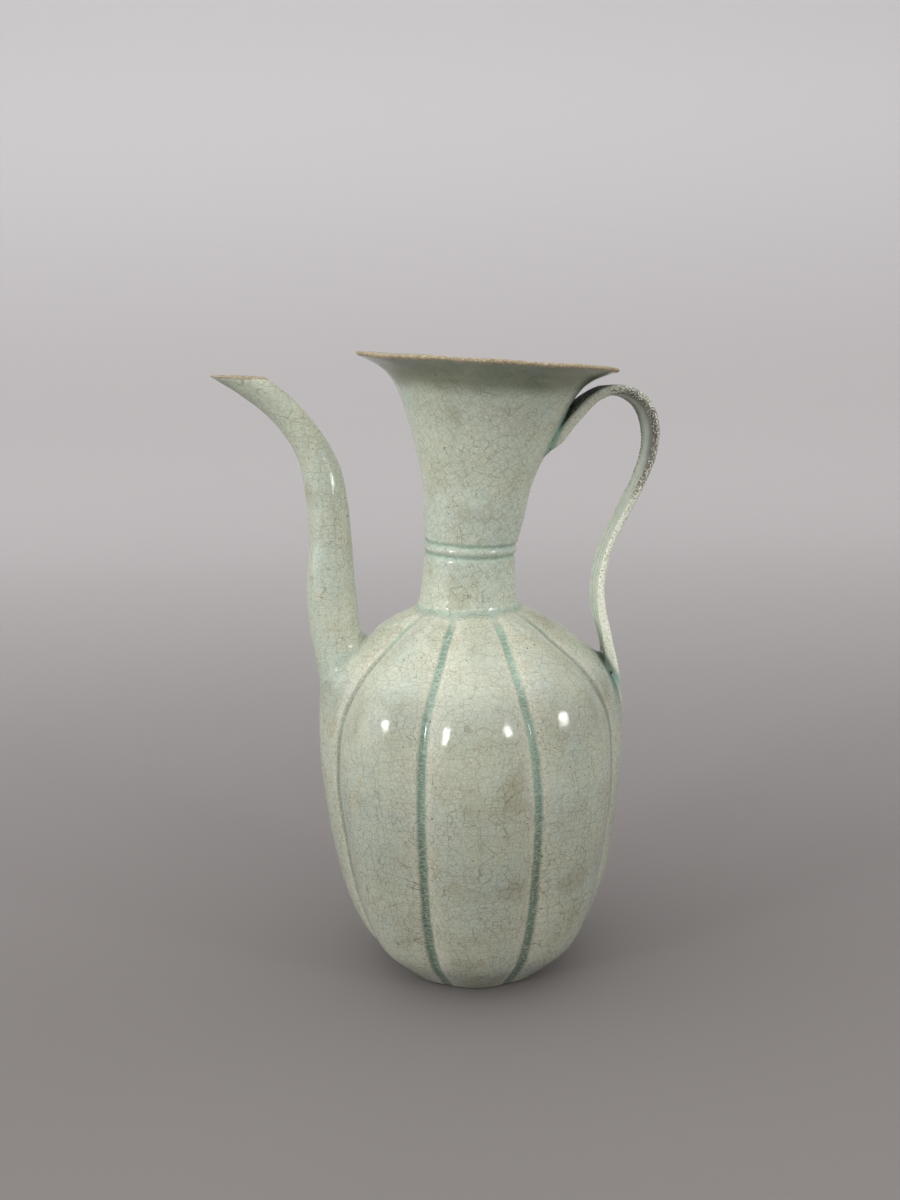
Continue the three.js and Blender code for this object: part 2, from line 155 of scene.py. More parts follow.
body_R = smoothed(BODY[:, 0], BODY[:, 1], 2.2)
depth_at = smoothed(DEPTH[:, 0], DEPTH[:, 1], 2.5)
groove_f = [pchip([a for a, _ in g], [b for _, b in g]) for g in GROOVES]
neck_R0 = smoothed(NECK[:, 0], NECK[:, 1], 1.0)
bore_R0 = smoothed(BORE_FORM[:, 0], BORE_FORM[:, 1], 1.0)
lean = [smoothed(LEAN[:, 0], LEAN[:, i], 3.0) for i in (1, 2, 3)]
BAND_HALF = 1.5  # half width of the glaze pooled in a groove


def lobes(theta, z):
    """(how far the surface lies inside the lobe's crest, distance to the nearest groove) in mm; theta in degrees."""
    g = np.stack([f(z) for f in groove_f])
    g = np.concatenate([g, g[:1] + 360])
    t = (theta - g[0]) % 360 + g[0]
    i = np.clip((t[None] >= g).sum(0) - 1, 0, 7)
    cols = np.arange(len(t))
    a, b = g[i, cols], g[i + 1, cols]
    d = np.abs(2 * (t - a) / (b - a) - 1)
    half = body_R(z) * np.radians(b - a) / 2
    s = (1 - d) * half
    deep = depth_at(z)
    h = deep * d ** 2
    # the glaze fills the bottom of the valley to a shallow curve
    w = BAND_HALF
    hw = deep * np.clip(1 - w / np.maximum(half, 1), 0, 1) ** 2
    slope = 2 * deep * np.clip(1 - w / np.maximum(half, 1), 0, 1) / np.maximum(half, 1)
    inside = hw + 0.35 * np.minimum(1, deep / 3) * (1 - (s / w) ** 2) + slope * (w * w - s * s) / (2 * w) * 0.5
    return np.where(s < w, inside, h), s


def body_radius(theta, z):
    h, s = lobes(theta, z)
    swell = np.zeros(len(h))
    for at, most in SWELLS:
        off = np.abs((theta - at + 180) % 360 - 180) / 26
        swell += most * np.where(off < 1, np.cos(np.minimum(off, 1) * math.pi / 2) ** 2, 0)
    return body_R(z) - h + swell * smoothstep(147, 156, z), s


def body_d(p):
    rho = np.hypot(p[:, 0], p[:, 1])
    theta = np.degrees(np.arctan2(p[:, 0], -p[:, 1]))
    z = p[:, 2]
    r, _ = body_radius(theta, z)
    slope = (body_R(z + 0.4) - body_R(z - 0.4)) / 0.8
    return (rho - r) / np.sqrt(1 + slope ** 2)


# two incised lines with a raised ring between them
def neck_band(z):
    return -0.66 * np.exp(-((z - 184.8) / 1.05) ** 2) - 0.62 * np.exp(-((z - 189.4) / 1.0) ** 2) + 0.3 * np.exp(-((z - 187.1) / 1.2) ** 2)


def neck_R(z):
    return neck_R0(z) + neck_band(z)


def unlean(p):
    """Points with the neck's lean taken out, so that the neck's axis is the Z axis."""
    z0 = p[:, 2].copy()
    for _ in range(3):
        x0 = p[:, 0] - lean[0](z0)
        z0 = p[:, 2] + x0 * lean[1](z0) + p[:, 1] * lean[2](z0)
    return np.stack([p[:, 0] - lean[0](z0), p[:, 1], z0], 1)


def do_lean(p):
    z = p[:, 2]
    return np.stack([p[:, 0] + lean[0](z), p[:, 1], z - p[:, 0] * lean[1](z) - p[:, 1] * lean[2](z)], 1)


def neck_d(p):
    q = unlean(p)
    rho = np.hypot(q[:, 0], q[:, 1])
    slope = (neck_R0(q[:, 2] + 0.4) - neck_R0(q[:, 2] - 0.4)) / 0.8
    return (rho - neck_R0(q[:, 2])) / np.sqrt(1 + slope ** 2)


class Path:
    """A smooth path in the XZ plane through table rows, with its other columns carried along."""

    def __init__(self, rows, count):
        s = np.concatenate([[0], np.cumsum(np.hypot(np.diff(rows[:, 0]), np.diff(rows[:, 1])))])
        self.s = np.linspace(0, s[-1], count)
        sigma = 2.2
        cols = []
        for i in range(rows.shape[1]):
            f = smoothed(s, rows[:, i], sigma, 0.25)
            cols.append(f(self.s))
        self.c = np.stack(cols, 1)
        t = np.gradient(self.c[:, :2], self.s, axis=0)
        self.t = t / np.linalg.norm(t, axis=1)[:, None]
        self.n = np.stack([-self.t[:, 1], self.t[:, 0]], 1)

    def near(self, p):
        """For points p: path index as a float, and the point's place along n and along y."""
        best = np.zeros(len(p))
        xz = p[:, [0, 2]]
        c = self.c[:, :2]
        for k in range(0, len(p), 20000):
            d = ((xz[k:k + 20000, None] - c[None]) ** 2).sum(2)
            i = d.argmin(1)
            # refine along the tangent
            q = xz[k:k + 20000] - c[i]
            along = (q * self.t[i]).sum(1)
            best[k:k + 20000] = i + along / (self.s[1] - self.s[0])
        return np.clip(best, 0, len(c) - 1)

    def at(self, f, col):
        return np.interp(f, np.arange(len(self.c)), self.c[:, col])

    def local(self, p):
        f = self.near(p)
        j = np.arange(len(self.c))
        cx, cz = self.at(f, 0), self.at(f, 1)
        nx, nz = np.interp(f, j, self.n[:, 0]), np.interp(f, j, self.n[:, 1])
        tx, tz = np.interp(f, j, self.t[:, 0]), np.interp(f, j, self.t[:, 1])
        dx, dz = p[:, 0] - cx, p[:, 2] - cz
        return f, dx * nx + dz * nz, p[:, 1], dx * tx + dz * tz


spout_path = Path(SPOUT, 260)
strap_path = Path(STRAP, 300)


def spout_d(p):
    f, a, b, along = spout_path.local(p)
    return np.sqrt(a * a + b * b + along * along) - spout_path.at(f, 2)


def strap_d(p):
    f, v, u, along = strap_path.local(p)
    tw = np.radians(strap_path.at(f, 3))
    c, s = np.cos(tw), np.sin(tw)
    across, out = u * c - v * s, v * c + u * s
    r = 1.45
    qx = np.abs(across) - (STRAP_WIDTH / 2 - r)
    qy = np.abs(out) - (strap_path.at(f, 2) / 2 - r)
    qz = np.abs(along)
    outside = np.sqrt(np.maximum(qx, 0) ** 2 + np.maximum(qy, 0) ** 2 + qz ** 2)
    return outside + np.minimum(np.maximum(qx, qy), 0) - r


def smin(a, b, k):
    h = np.clip(0.5 + 0.5 * (b - a) / k, 0, 1)
    return b * (1 - h) + a * h - k * h * (1 - h), 4 * h * (1 - h)


def k_neck(p):
    return np.full(len(p), 3.4)


def k_spout(p):
    a = np.clip((-p[:, 0] - 50) / 15, 0, 1)
    return 5.5 + 9.0 * a


def k_low(p):
    return np.full(len(p), 4.5)


def k_high(p):
    # broader under the strap than over it
    v = strap_path.local(p)[1]
    return 3.0 + 0.8 * smoothstep(1.0, -3.5, v)


# each neighbour with its fillet's breadth and how much glaze pools in the corner
JOIN = {
    "body": [(neck_d, k_neck, 0.62), (spout_d, k_spout, 0.5), (strap_d, k_low, 1.0)],
    "neck": [(body_d, k_neck, 0.62), (strap_d, k_high, 1.0)],
    "spout": [(body_d, k_spout, 0.5)],
    "strap": [(body_d, k_low, 1.0), (neck_d, k_high, 1.0)],
}
OWN = {"body": body_d, "neck": neck_d, "spout": spout_d, "strap": strap_d}


def settle(name, p, own_offset):
    """Moves points of a piece's outer skin on to the fillets where it meets its neighbours, and lets what lies inside a neighbour sink out of sight. own_offset is each point's height above the plain form, kept as it is. Returns points and how deep in a fillet each lies, 0 to 1."""
    p = p.copy()
    fillet = np.zeros(len(p))
    for other, kf, pools in JOIN[name]:
        k = kf(p)
        d = other(p)
        sel = np.where((d < k) & (d > -3 * k))[0]
        if not len(sel):
            continue
        q0 = p[sel]
        off = own_offset[sel]
        kk = k[sel]
        q = q0.copy()
        own = OWN[name]

        def f(x):
            o = other(x)
            return smin(own(x) - off * smoothstep(0.15 * kk, 0.9 * kk, o), o, kk)[0]
        for _ in range(5):
            v = f(q)
            g = np.empty_like(q)
            e = 0.03
            for a in range(3):
                hi, lo = q.copy(), q.copy()
                hi[:, a] += e
                lo[:, a] -= e
                g[:, a] = (f(hi) - f(lo)) / (2 * e)
            g /= np.maximum((g ** 2).sum(1), 0.25)[:, None]
            q -= np.clip(v, -2.5, 2.5)[:, None] * g
        dd = d[sel]
        # w is 1 on the piece's own side of the seam and just past it, and falls to 0 inside the neighbour
        w = smoothstep(-(1.2 + 0.35 * kk), -1.2, dd)
        gl = np.linalg.norm(q - q0, axis=1)
        up = (q - q0) / np.maximum(gl, 1e-6)[:, None]
        sink = np.where(dd < 0, 0.05 * np.minimum(-dd, 1.5), 0)
        p[sel] = q0 + (q - q0) * w[:, None] - up * (sink * w)[:, None]
        # the fillet's depth as a mask, the same on both sides of the seam
        h = smin(own(q) - off, other(q), kk)[1]
        fillet[sel] = np.maximum(fillet[sel], h * w * pools)
    return p, fillet


# ------------------------------------------------------------------ meshes
def grid_mesh(name, rings, vmap, attrs, caps=(None, None)):
    """A mesh from rings[i, j] in mm, closed round j. vmap is each ring's v in the texture. caps are a centre point for the first and last ring, or None."""
    m, n = rings.shape[:2]
    verts = rings.reshape(-1, 3)
    i, j = np.meshgrid(np.arange(m - 1), np.arange(n), indexing="ij")
    jn = (j + 1) % n
    quads = np.stack([i * n + j, i * n + jn, (i + 1) * n + jn, (i + 1) * n + j], -1).reshape(-1, 4)
    u0, u1 = j / n, (j + 1) / n
    v0, v1 = vmap[i], vmap[i + 1]
    uv = np.stack([np.stack([u0, v0], -1), np.stack([u1, v0], -1), np.stack([u1, v1], -1), np.stack([u0, v1], -1)], 2).reshape(-1, 2)
    loops = quads.reshape(-1)
    counts = np.full(len(quads), 4)
    extra = []
    for end, cap in enumerate(caps):
        if cap is None:
            continue
        c = len(verts) + len(extra)
        extra.append(cap)
        base = 0 if end == 0 else (m - 1) * n
        a = np.arange(n)
        b = (a + 1) % n
        tri = np.stack([base + b, base + a, np.full(n, c)] if end == 0 else [base + a, base + b, np.full(n, c)], 1)
        vv = vmap[0 if end == 0 else m - 1]
        ve = 0.001 if end == 0 else 0.999
        ua, ub, uc = a / n, (a + 1) / n, (a + 0.5) / n
        if end == 0:
            t = np.stack([np.stack([ub, np.full(n, vv)], 1), np.stack([ua, np.full(n, vv)], 1), np.stack([uc, np.full(n, ve)], 1)], 1)
        else:
            t = np.stack([np.stack([ua, np.full(n, vv)], 1), np.stack([ub, np.full(n, vv)], 1), np.stack([uc, np.full(n, ve)], 1)], 1)
        loops = np.concatenate([loops, tri.reshape(-1)])
        uv = np.concatenate([uv, t.reshape(-1, 2)])
        counts = np.concatenate([counts, np.full(n, 3)])
    if extra:
        verts = np.concatenate([verts, np.array(extra, float)])
    # faces point outward: the signed volume decides
    starts = np.concatenate([[0], np.cumsum(counts)[:-1]])
    A, B, C = verts[loops[starts]], verts[loops[starts + 1]], verts[loops[starts + 2]]
    vol = (A * np.cross(B, C)).sum()
    four = counts == 4
    D = verts[loops[np.where(four, starts + 3, starts)]]
    vol += (A * np.cross(C, D))[four].sum()
    if vol < 0:
        order = np.concatenate([np.arange(len(counts))])
        idx = np.empty(len(loops), int)
        for cnt in (3, 4):
            s = starts[counts == cnt]
            for q in range(cnt):
                idx[s + q] = s + (cnt - 1 - q)
        loops, uv = loops[idx], uv[idx]
    me = bpy.data.meshes.new(name)
    me.vertices.add(len(verts))
    me.vertices.foreach_set("co", (verts * MM).astype(np.float32).reshape(-1))
    me.loops.add(len(loops))
    me.loops.foreach_set("vertex_index", loops.astype(np.int32))
    me.polygons.add(len(counts))
    me.polygons.foreach_set("loop_start", starts.astype(np.int32))
    me.polygons.foreach_set("use_smooth", np.ones(len(counts), bool))
    lay = me.uv_layers.new(name="OFBake")
    lay.data.foreach_set("uv", uv.astype(np.float32).reshape(-1))
    for key, val in attrs.items():
        full = np.concatenate([np.asarray(val, float).reshape(-1), np.zeros(len(extra))])
        for e in range(len(extra)):
            full[len(verts) - len(extra) + e] = full[0 if (e == 0 and caps[0] is not None) else (m - 1) * n]
        at = me.attributes.new(key, "FLOAT", "POINT")
        at.data.foreach_set("value", full.astype(np.float32))
    me.update()
    me.validate()
    ob = bpy.data.objects.new(name, me)
    bpy.context.scene.collection.objects.link(ob)
    return ob


def arc_v(rings, lo, hi):
    """Ring positions along the texture, by their length over the surface, between lo and hi."""
    mid = rings.mean(1)
    r = np.linalg.norm(rings - mid[:, None], axis=2).mean(1)
    d = np.hypot(np.diff(r), np.linalg.norm(np.diff(mid, axis=0), axis=1))
    s = np.concatenate([[0], np.cumsum(d)])
    return lo + (hi - lo) * s / s[-1]


# --- body
def body_columns():
    """Azimuth samples that crowd towards the grooves, as fractions of each lobe."""
    t = np.linspace(0, 1, 61)[:-1]
    return t - 0.115 * np.sin(2 * math.pi * t) * 1.0


def build_body():
    zs = np.concatenate([
        np.array([0.0, 0.12, 0.35, 0.7, 1.2, 1.9]), np.arange(2.7, 12, 0.85), np.arange(12, 112, 1.25), np.arange(112, 159.8, 0.62), [160.0, 160.5, 161.0, 161.5, 162.0, 162.4],
    ])
    frac = body_columns()
    rows, s_rows = [], []
    for z in zs:
        g = np.array([float(f(z)) for f in groove_f] + [float(groove_f[0](z)) + 360])
        th = np.concatenate([g[k] + frac * (g[k + 1] - g[k]) for k in range(8)])
        r, s = body_radius(th, np.full(len(th), z))
        if z < 1.2:  # the foot's outer corner is slightly rounded
            r = r - (0.75 * (1 - math.sqrt(max(0.0, 1 - (1 - z / 1.2) ** 2))))
        t = np.radians(th)
        rows.append(np.stack([r * np.sin(t), -r * np.cos(t), np.full(len(th), z)], 1))
        s_rows.append(s)
    outer = np.array(rows)
    m, n = outer.shape[:2]
    s = np.array(s_rows)
    p = outer.reshape(-1, 3)
    # hand-made unevenness: faint swellings all over
    rho = np.hypot(p[:, 0], p[:, 1])
    nrm = np.stack([p[:, 0] / rho, p[:, 1] / rho, np.zeros(len(p))], 1)
    fade = smoothstep(0, 12, p[:, 2])
    off = (0.16 * wobble(p, 3, 38) + 0.05 * wobble(p, 5, 11)) * fade
    p = p + nrm * off[:, None]
    p, fil = settle("body", p, off)
    outer = p.reshape(m, n, 3)
    half = BAND_HALF + 0.35 + 0.4 * smoothstep(70, 15, outer[..., 2]) - 0.2 * smoothstep(125, 150, outer[..., 2])
    half = half + 0.12 * wobble(outer.reshape(-1, 3), 12, 6).reshape(m, n)
    band = smoothstep(half + 1.0, half - 0.9, s) * smoothstep(162, 156, outer[..., 2])
    ridge = 0.85 * smoothstep(half + 5.2, half + 0.6, s) * (1 - band)
    ridge = np.maximum(ridge, 0.35 * smoothstep(half + 11.0, half + 1.0, s) * (1 - band))
    # less glaze pools in the two grooves at the sides
    thin = np.array([1, 1, 0.8, 1, 1, 1, 1, 0.8])
    column = np.tile(frac, 8)
    band *= thin[(np.repeat(np.arange(8), len(frac)) + (column > 0.5)) % 8][None]
    th_last = np.arctan2(outer[-1, :, 0], -outer[-1, :, 1])

    def ring(z, r, th=None):
        t = th_last if th is None else th
        return np.stack([r * np.sin(t), -r * np.cos(t), np.full(n, z)], 1)
    th0 = np.arctan2(outer[0, :, 0], -outer[0, :, 1])
    base = np.array([ring(1.2, r, th0) for r in (3.0, 8.0, 13.0, 18.0, 22.0)] + [ring(1.12, 23.2, th0), ring(0.8, 23.9, th0), ring(0.3, 24.5, th0), ring(0.05, 25.0, th0), ring(0.0, 25.6, th0), ring(0.0, 27.5, th0), ring(0.0, 29.5, th0)])
    inner = [ring(161.0, 18.2), ring(159.5, 17.5), ring(156.5, 17.6)]
    for z in (154.6, 151, 145, 138, 129, 117, 100, 80, 60, 43, 31, 22, 15):
        slope = float(body_R(z + 0.5) - body_R(z - 0.5))
        k = 1 / math.hypot(1, slope)
        r, _ = body_radius(np.degrees(th_last), np.full(n, float(z)))
        inner.append(ring(z + WALL * slope * k, r - WALL * k))
    inner += [ring(8.2, 36.0), ring(6.8, 30.0), ring(6.5, 20.0), ring(6.5, 8.0)]
    inner = np.array(inner)
    rings = np.concatenate([base, outer, inner])
    v = np.concatenate([arc_v(base, 0.01, 0.06), arc_v(outer, 0.065, 0.90), arc_v(inner, 0.905, 0.99)])
    nb, ni = len(base) * n, len(inner) * n
    bare = np.concatenate([np.ones(nb), smoothstep(0.95, 0.45, outer[..., 2] + 0.2 * wobble(outer.reshape(-1, 3), 9, 7).reshape(m, n)).reshape(-1), np.zeros(ni)])
    attrs = {
        "band": np.concatenate([np.zeros(nb), band.reshape(-1), np.zeros(ni)]),
        "ridge": np.concatenate([np.zeros(nb), ridge.reshape(-1), np.zeros(ni)]),
        "pool": np.concatenate([np.zeros(nb), fil, np.zeros(ni)]),
        "bare": bare,
    }
    return grid_mesh("ewer_body", rings, v, attrs, caps=((0, 0, 1.2), (0, 0, 6.5)))


# --- neck
def build_neck():
    n = 320
    th = 2 * math.pi * np.arange(n) / n
    zs = np.concatenate([np.arange(157.0, 182, 0.6), np.arange(182, 192, 0.22), np.arange(192, 250, 0.9), np.arange(250, 262.6, 0.42), [262.8, 263.0, 263.15]])
    r = neck_R(zs)
    prof = [(float(a), float(b)) for a, b in zip(zs, r)]
    m_outer = len(prof)
    # the lip: rolled over its edge, then the inside of the mouth and throat
    lip = [(263.42, 53.35), (263.75, 53.75), (264.2, 53.9), (264.65, 53.75), (264.98, 53.35), (265.1, 52.8), (265.05, 52.2)]
    inside = []
    for z in np.concatenate([np.arange(262.6, 250, -0.9), np.arange(250, 161, -3.0)]):
        slope = float(bore_R0(z + 0.4) - bore_R0(z - 0.4)) / 0.8
        k = 1 / math.hypot(1, slope)
        wall = 3.4 if z < 250 else 3.4 - (z - 250) / 15 * 1.1
        inside.append((z + wall * slope * k, float(bore_R0(z)) - wall * k))
    inside.append((160.2, 18.1))
    inside = [q for q in inside if q[1] < 51.6]
    prof += lip + inside
    prof += [(159.2, 19.4), (157.2, 21.5)]
    prof = np.array(prof)
    rings = np.stack([
        prof[:, 1:2] * np.sin(th)[None], -prof[:, 1:2] * np.cos(th)[None], np.repeat(prof[:, :1], n, 1),
    ], -1)
    m = len(prof)
    p = rings.reshape(-1, 3)
    rho = np.hypot(p[:, 0], p[:, 1])
    nrm = np.stack([p[:, 0] / rho, p[:, 1] / rho, np.zeros(len(p))], 1)
    # throwing rings and slight unevenness, and a rim that isn't quite true
    off = 0.10 * wobble(p, 21, 30) + 0.035 * np.sin(p[:, 2] * 2 * math.pi / 4.3 + 1.5 * wobble(p, 22, 40)) + 0.03 * wobble(p, 23, 9)
    off *= smoothstep(157, 163, p[:, 2])
    p = p + nrm * off[:, None]
    rim = smoothstep(252, 264, p[:, 2])
    p[:, 2] += rim * (0.30 * np.sin(2 * np.arctan2(p[:, 0], -p[:, 1]) + 0.6) + 0.16 * wobble(p, 24, 26))
    p = do_lean(p)
    band_z = prof[:, 0]
    groove = 0.8 * np.clip(np.exp(-((band_z - 184.8) / 1.15) ** 2) + np.exp(-((band_z - 189.4) / 1.1) ** 2), 0, 1)
    groove[m_outer:] = 0
    outer_n = m_outer * n
    # only the outside settles on the body and the handle
    q, fil = settle("neck", p[:outer_n], off[:outer_n] + np.repeat(neck_band(zs), n))
    p[:outer_n] = q
    fil = np.concatenate([fil, np.zeros(len(p) - outer_n)])
    # the unglazed mouth rim
    zi = prof[:, 0]
    idx = np.arange(m)
    lip_c = m_outer + 3
    along = np.concatenate([[0], np.cumsum(np.hypot(np.diff(prof[:, 0]), np.diff(prof[:, 1])))])
    dist = np.abs(along - along[lip_c])
    edge = np.repeat(dist, n) + 0.35 * wobble(p, 31, 5) + 0.3 * wobble(p, 32, 17)
    bare = smoothstep(2.1, 1.5, edge)
    thin = smoothstep(5.0, 1.8, edge)
    v = arc_v(p[:outer_n].reshape(m_outer, n, 3), 0.005, 0.62)
    v2 = arc_v(p[outer_n:].reshape(m - m_outer, n, 3), 0.625, 0.995)
    attrs = {"band": np.repeat(groove, n), "ridge": thin * (1 - bare), "pool": fil, "bare": bare}
    ob = grid_mesh("ewer_neck", np.concatenate([p.reshape(m, n, 3), p.reshape(m, n, 3)[:1]]), np.concatenate([v, v2, [0.999]]),
                   {k: np.concatenate([a.reshape(-1), a.reshape(-1)[:n]]) for k, a in attrs.items()})
    weld(ob)
    return ob


def weld(ob, dist=1e-6):
    import bmesh
    bm = bmesh.new()
    bm.from_mesh(ob.data)
    bmesh.ops.remove_doubles(bm, verts=bm.verts, dist=dist)
    bm.to_mesh(ob.data)
    bm.free()


# --- spout
def build_spout():
    n = 128
    ph = 2 * math.pi * np.arange(n) / n
    path = spout_path
    ax, az = MOUTH_A
    bx, bz = MOUTH_B
    cn = np.array([az - bz, bx - ax], float)
    cn /= np.linalg.norm(cn)
    cd = ax * cn[0] + az * cn[1]
    keep = path.c[:, 1] > 126
    idx = np.where(keep)[0][::1]

    def shell(col, rows):
        out = []
        for i in rows:
            r = path.c[i, col]
            u, w = np.cos(ph) * r, np.sin(ph) * r
            out.append(np.stack([path.c[i, 0] + path.n[i, 0] * u, w, path.c[i, 1] + path.n[i, 1] * u], 1))
        return np.array(out)

    def cut(rings, top):
        """Stops each line of the skin at the mouth's plane."""
        out = rings.copy()
        side = out[..., 0] * cn[0] + out[..., 2] * cn[1] - cd - top
        for j in range(n):
            over = np.where(side[:, j] > 0)[0]
            if not len(over):
                continue
            k = over[0]
            a, b = out[k - 1, j], out[k, j]
            t = side[k - 1, j] / (side[k - 1, j] - side[k, j])
            hit = a + (b - a) * t
            # the last rings before the cut are spread evenly up to it
            first = max(0, k - 14)
            line = np.concatenate([out[first:k, j], [hit]])
            s = np.concatenate([[0], np.cumsum(np.linalg.norm(np.diff(line, axis=0), axis=1))])
            want = np.linspace(0, s[-1], len(out) - first)
            out[first:, j] = np.stack([np.interp(want, s, line[:, c]) for c in range(3)], 1)
        return out
    outer = cut(shell(2, idx), -0.25)
    inner = cut(shell(3, idx[::3]), -0.25)
    m = len(outer)
    p = outer.reshape(-1, 3)
    c = np.repeat(path.c[idx][:, [0, 1]], n, 0)
    nrm = np.stack([p[:, 0] - c[:, 0], p[:, 1], p[:, 2] - c[:, 1]], 1)
    nrm /= np.linalg.norm(nrm, axis=1)[:, None]
    tip = np.minimum(1, np.maximum(0, (cd - 0.25 - (p[:, 0] * cn[0] + p[:, 2] * cn[1])) / 3))
    off = (0.14 * wobble(p, 41, 24) + 0.06 * wobble(p, 42, 9)) * tip
    p = p + nrm * off[:, None]
    p, fil = settle("spout", p, off)
    outer = p.reshape(m, n, 3)
    # the mouth's edge is rounded from the outside to the inside
    a, b = outer[-1], inner[-1]
    up = np.array([cn[0], 0, cn[1]])
    edge = [a + (b - a) * t + up * (0.35 * math.sin(math.pi * min(1, t * 1.0)) + 0.0) for t in (0.12, 0.3, 0.5, 0.7, 0.88)]
    rings = np.concatenate([outer, np.array(edge), inner[::-1]])
    v = np.concatenate([arc_v(outer, 0.01, 0.78), [0.783, 0.786, 0.789, 0.792, 0.795], arc_v(inner[::-1], 0.80, 0.985)])
    mm = len(rings)
    dist = np.concatenate([
        (cd - 0.25 - (outer[..., 0] * cn[0] + outer[..., 2] * cn[1])).reshape(-1), np.zeros(5 * n),
        (cd - 0.25 - (inner[::-1][..., 0] * cn[0] + inner[::-1][..., 2] * cn[1])).reshape(-1)])
    q = rings.reshape(-1, 3)
    edge_d = dist + 0.25 * wobble(q, 43, 4)
    # thin glaze in a stripe on the side towards the neck, thicker glaze on the far side from it
    turn = np.degrees(np.tile(ph, (m, 1)))
    zz = np.repeat(path.c[idx][:, 1], n).reshape(m, n)
    facing = np.exp(-(((turn - 228 + 180) % 360 - 180) / 24) ** 2) + np.exp(-(((turn - 130 + 180) % 360 - 180) / 24) ** 2)
    stripe = np.clip(facing, 0, 1) * smoothstep(136, 146, zz) * smoothstep(222, 202, zz)
    stripe *= 0.75 + 0.25 * wobble(outer.reshape(-1, 3), 44, 12).reshape(m, n)
    cool = np.exp(-(((turn + 180) % 360 - 180) / 42) ** 2) * 0.30
    pad_in = np.zeros((mm - m) * n)
    attrs = {
        "band": np.concatenate([cool.reshape(-1), pad_in]), "pool": np.concatenate([fil, pad_in]),
        "ridge": np.maximum(smoothstep(2.4, 0.6, edge_d), np.concatenate([0.8 * stripe.reshape(-1), pad_in])),
        "bare": 0.85 * smoothstep(0.8, 0.3, edge_d),
    }
    rings = np.concatenate([rings, rings[:1]])
    attrs = {k: np.concatenate([x, x[:n]]) for k, x in attrs.items()}
    ob = grid_mesh("ewer_spout", rings, np.concatenate([v, [0.999]]), attrs)
    weld(ob)
    return ob


# --- handle
RIBS = 10


def strap_section(count, thick):
    """Points round the strap's section as (across, out), with ribs along the outer face and flutes along the inner one, and which part each is on."""
    w, t, r = STRAP_WIDTH / 2, thick / 2, 1.45
    pts, kind = [], []
    m = count // 2 - 14
    for i in range(m):  # outer face
        y = -(w - r) + 2 * (w - r) * i / (m - 1)
        ph = (y + w - r) / (2 * (w - r))
        edge = min(1, min(ph, 1 - ph) * 14)
        rib = 0.20 * (math.cos(2 * math.pi * RIBS * ph) - 1) * edge
        pts.append((y, t + rib + 0.25 * (1 - (y / w) ** 2)))
        kind.append(0)
    for i in range(14):  # far edge
        a = math.pi / 2 - math.pi * (i + 0.5) / 14
        pts.append((w - r + r * math.cos(a), (t - r) * (1 if a > 0 else -1) + r * math.sin(a)))
        kind.append(1)
    for i in range(m):  # inner face
        y = (w - r) - 2 * (w - r) * i / (m - 1)
        ph = (y + w - r) / (2 * (w - r))
        flute = 0.42 * (1 - math.cos(2 * math.pi * 3 * ph)) / 2 + 0.35 * (1 - (2 * ph - 1) ** 2)
        pts.append((y, -t + flute))
        kind.append(2)
    for i in range(14):  # near edge
        a = -math.pi / 2 - math.pi * (i + 0.5) / 14
        pts.append((-(w - r) + r * math.cos(a), (t - r) * (1 if math.sin(a) > 0 else -1) + r * math.sin(a)))
        kind.append(1)
    return np.array(pts), np.array(kind)


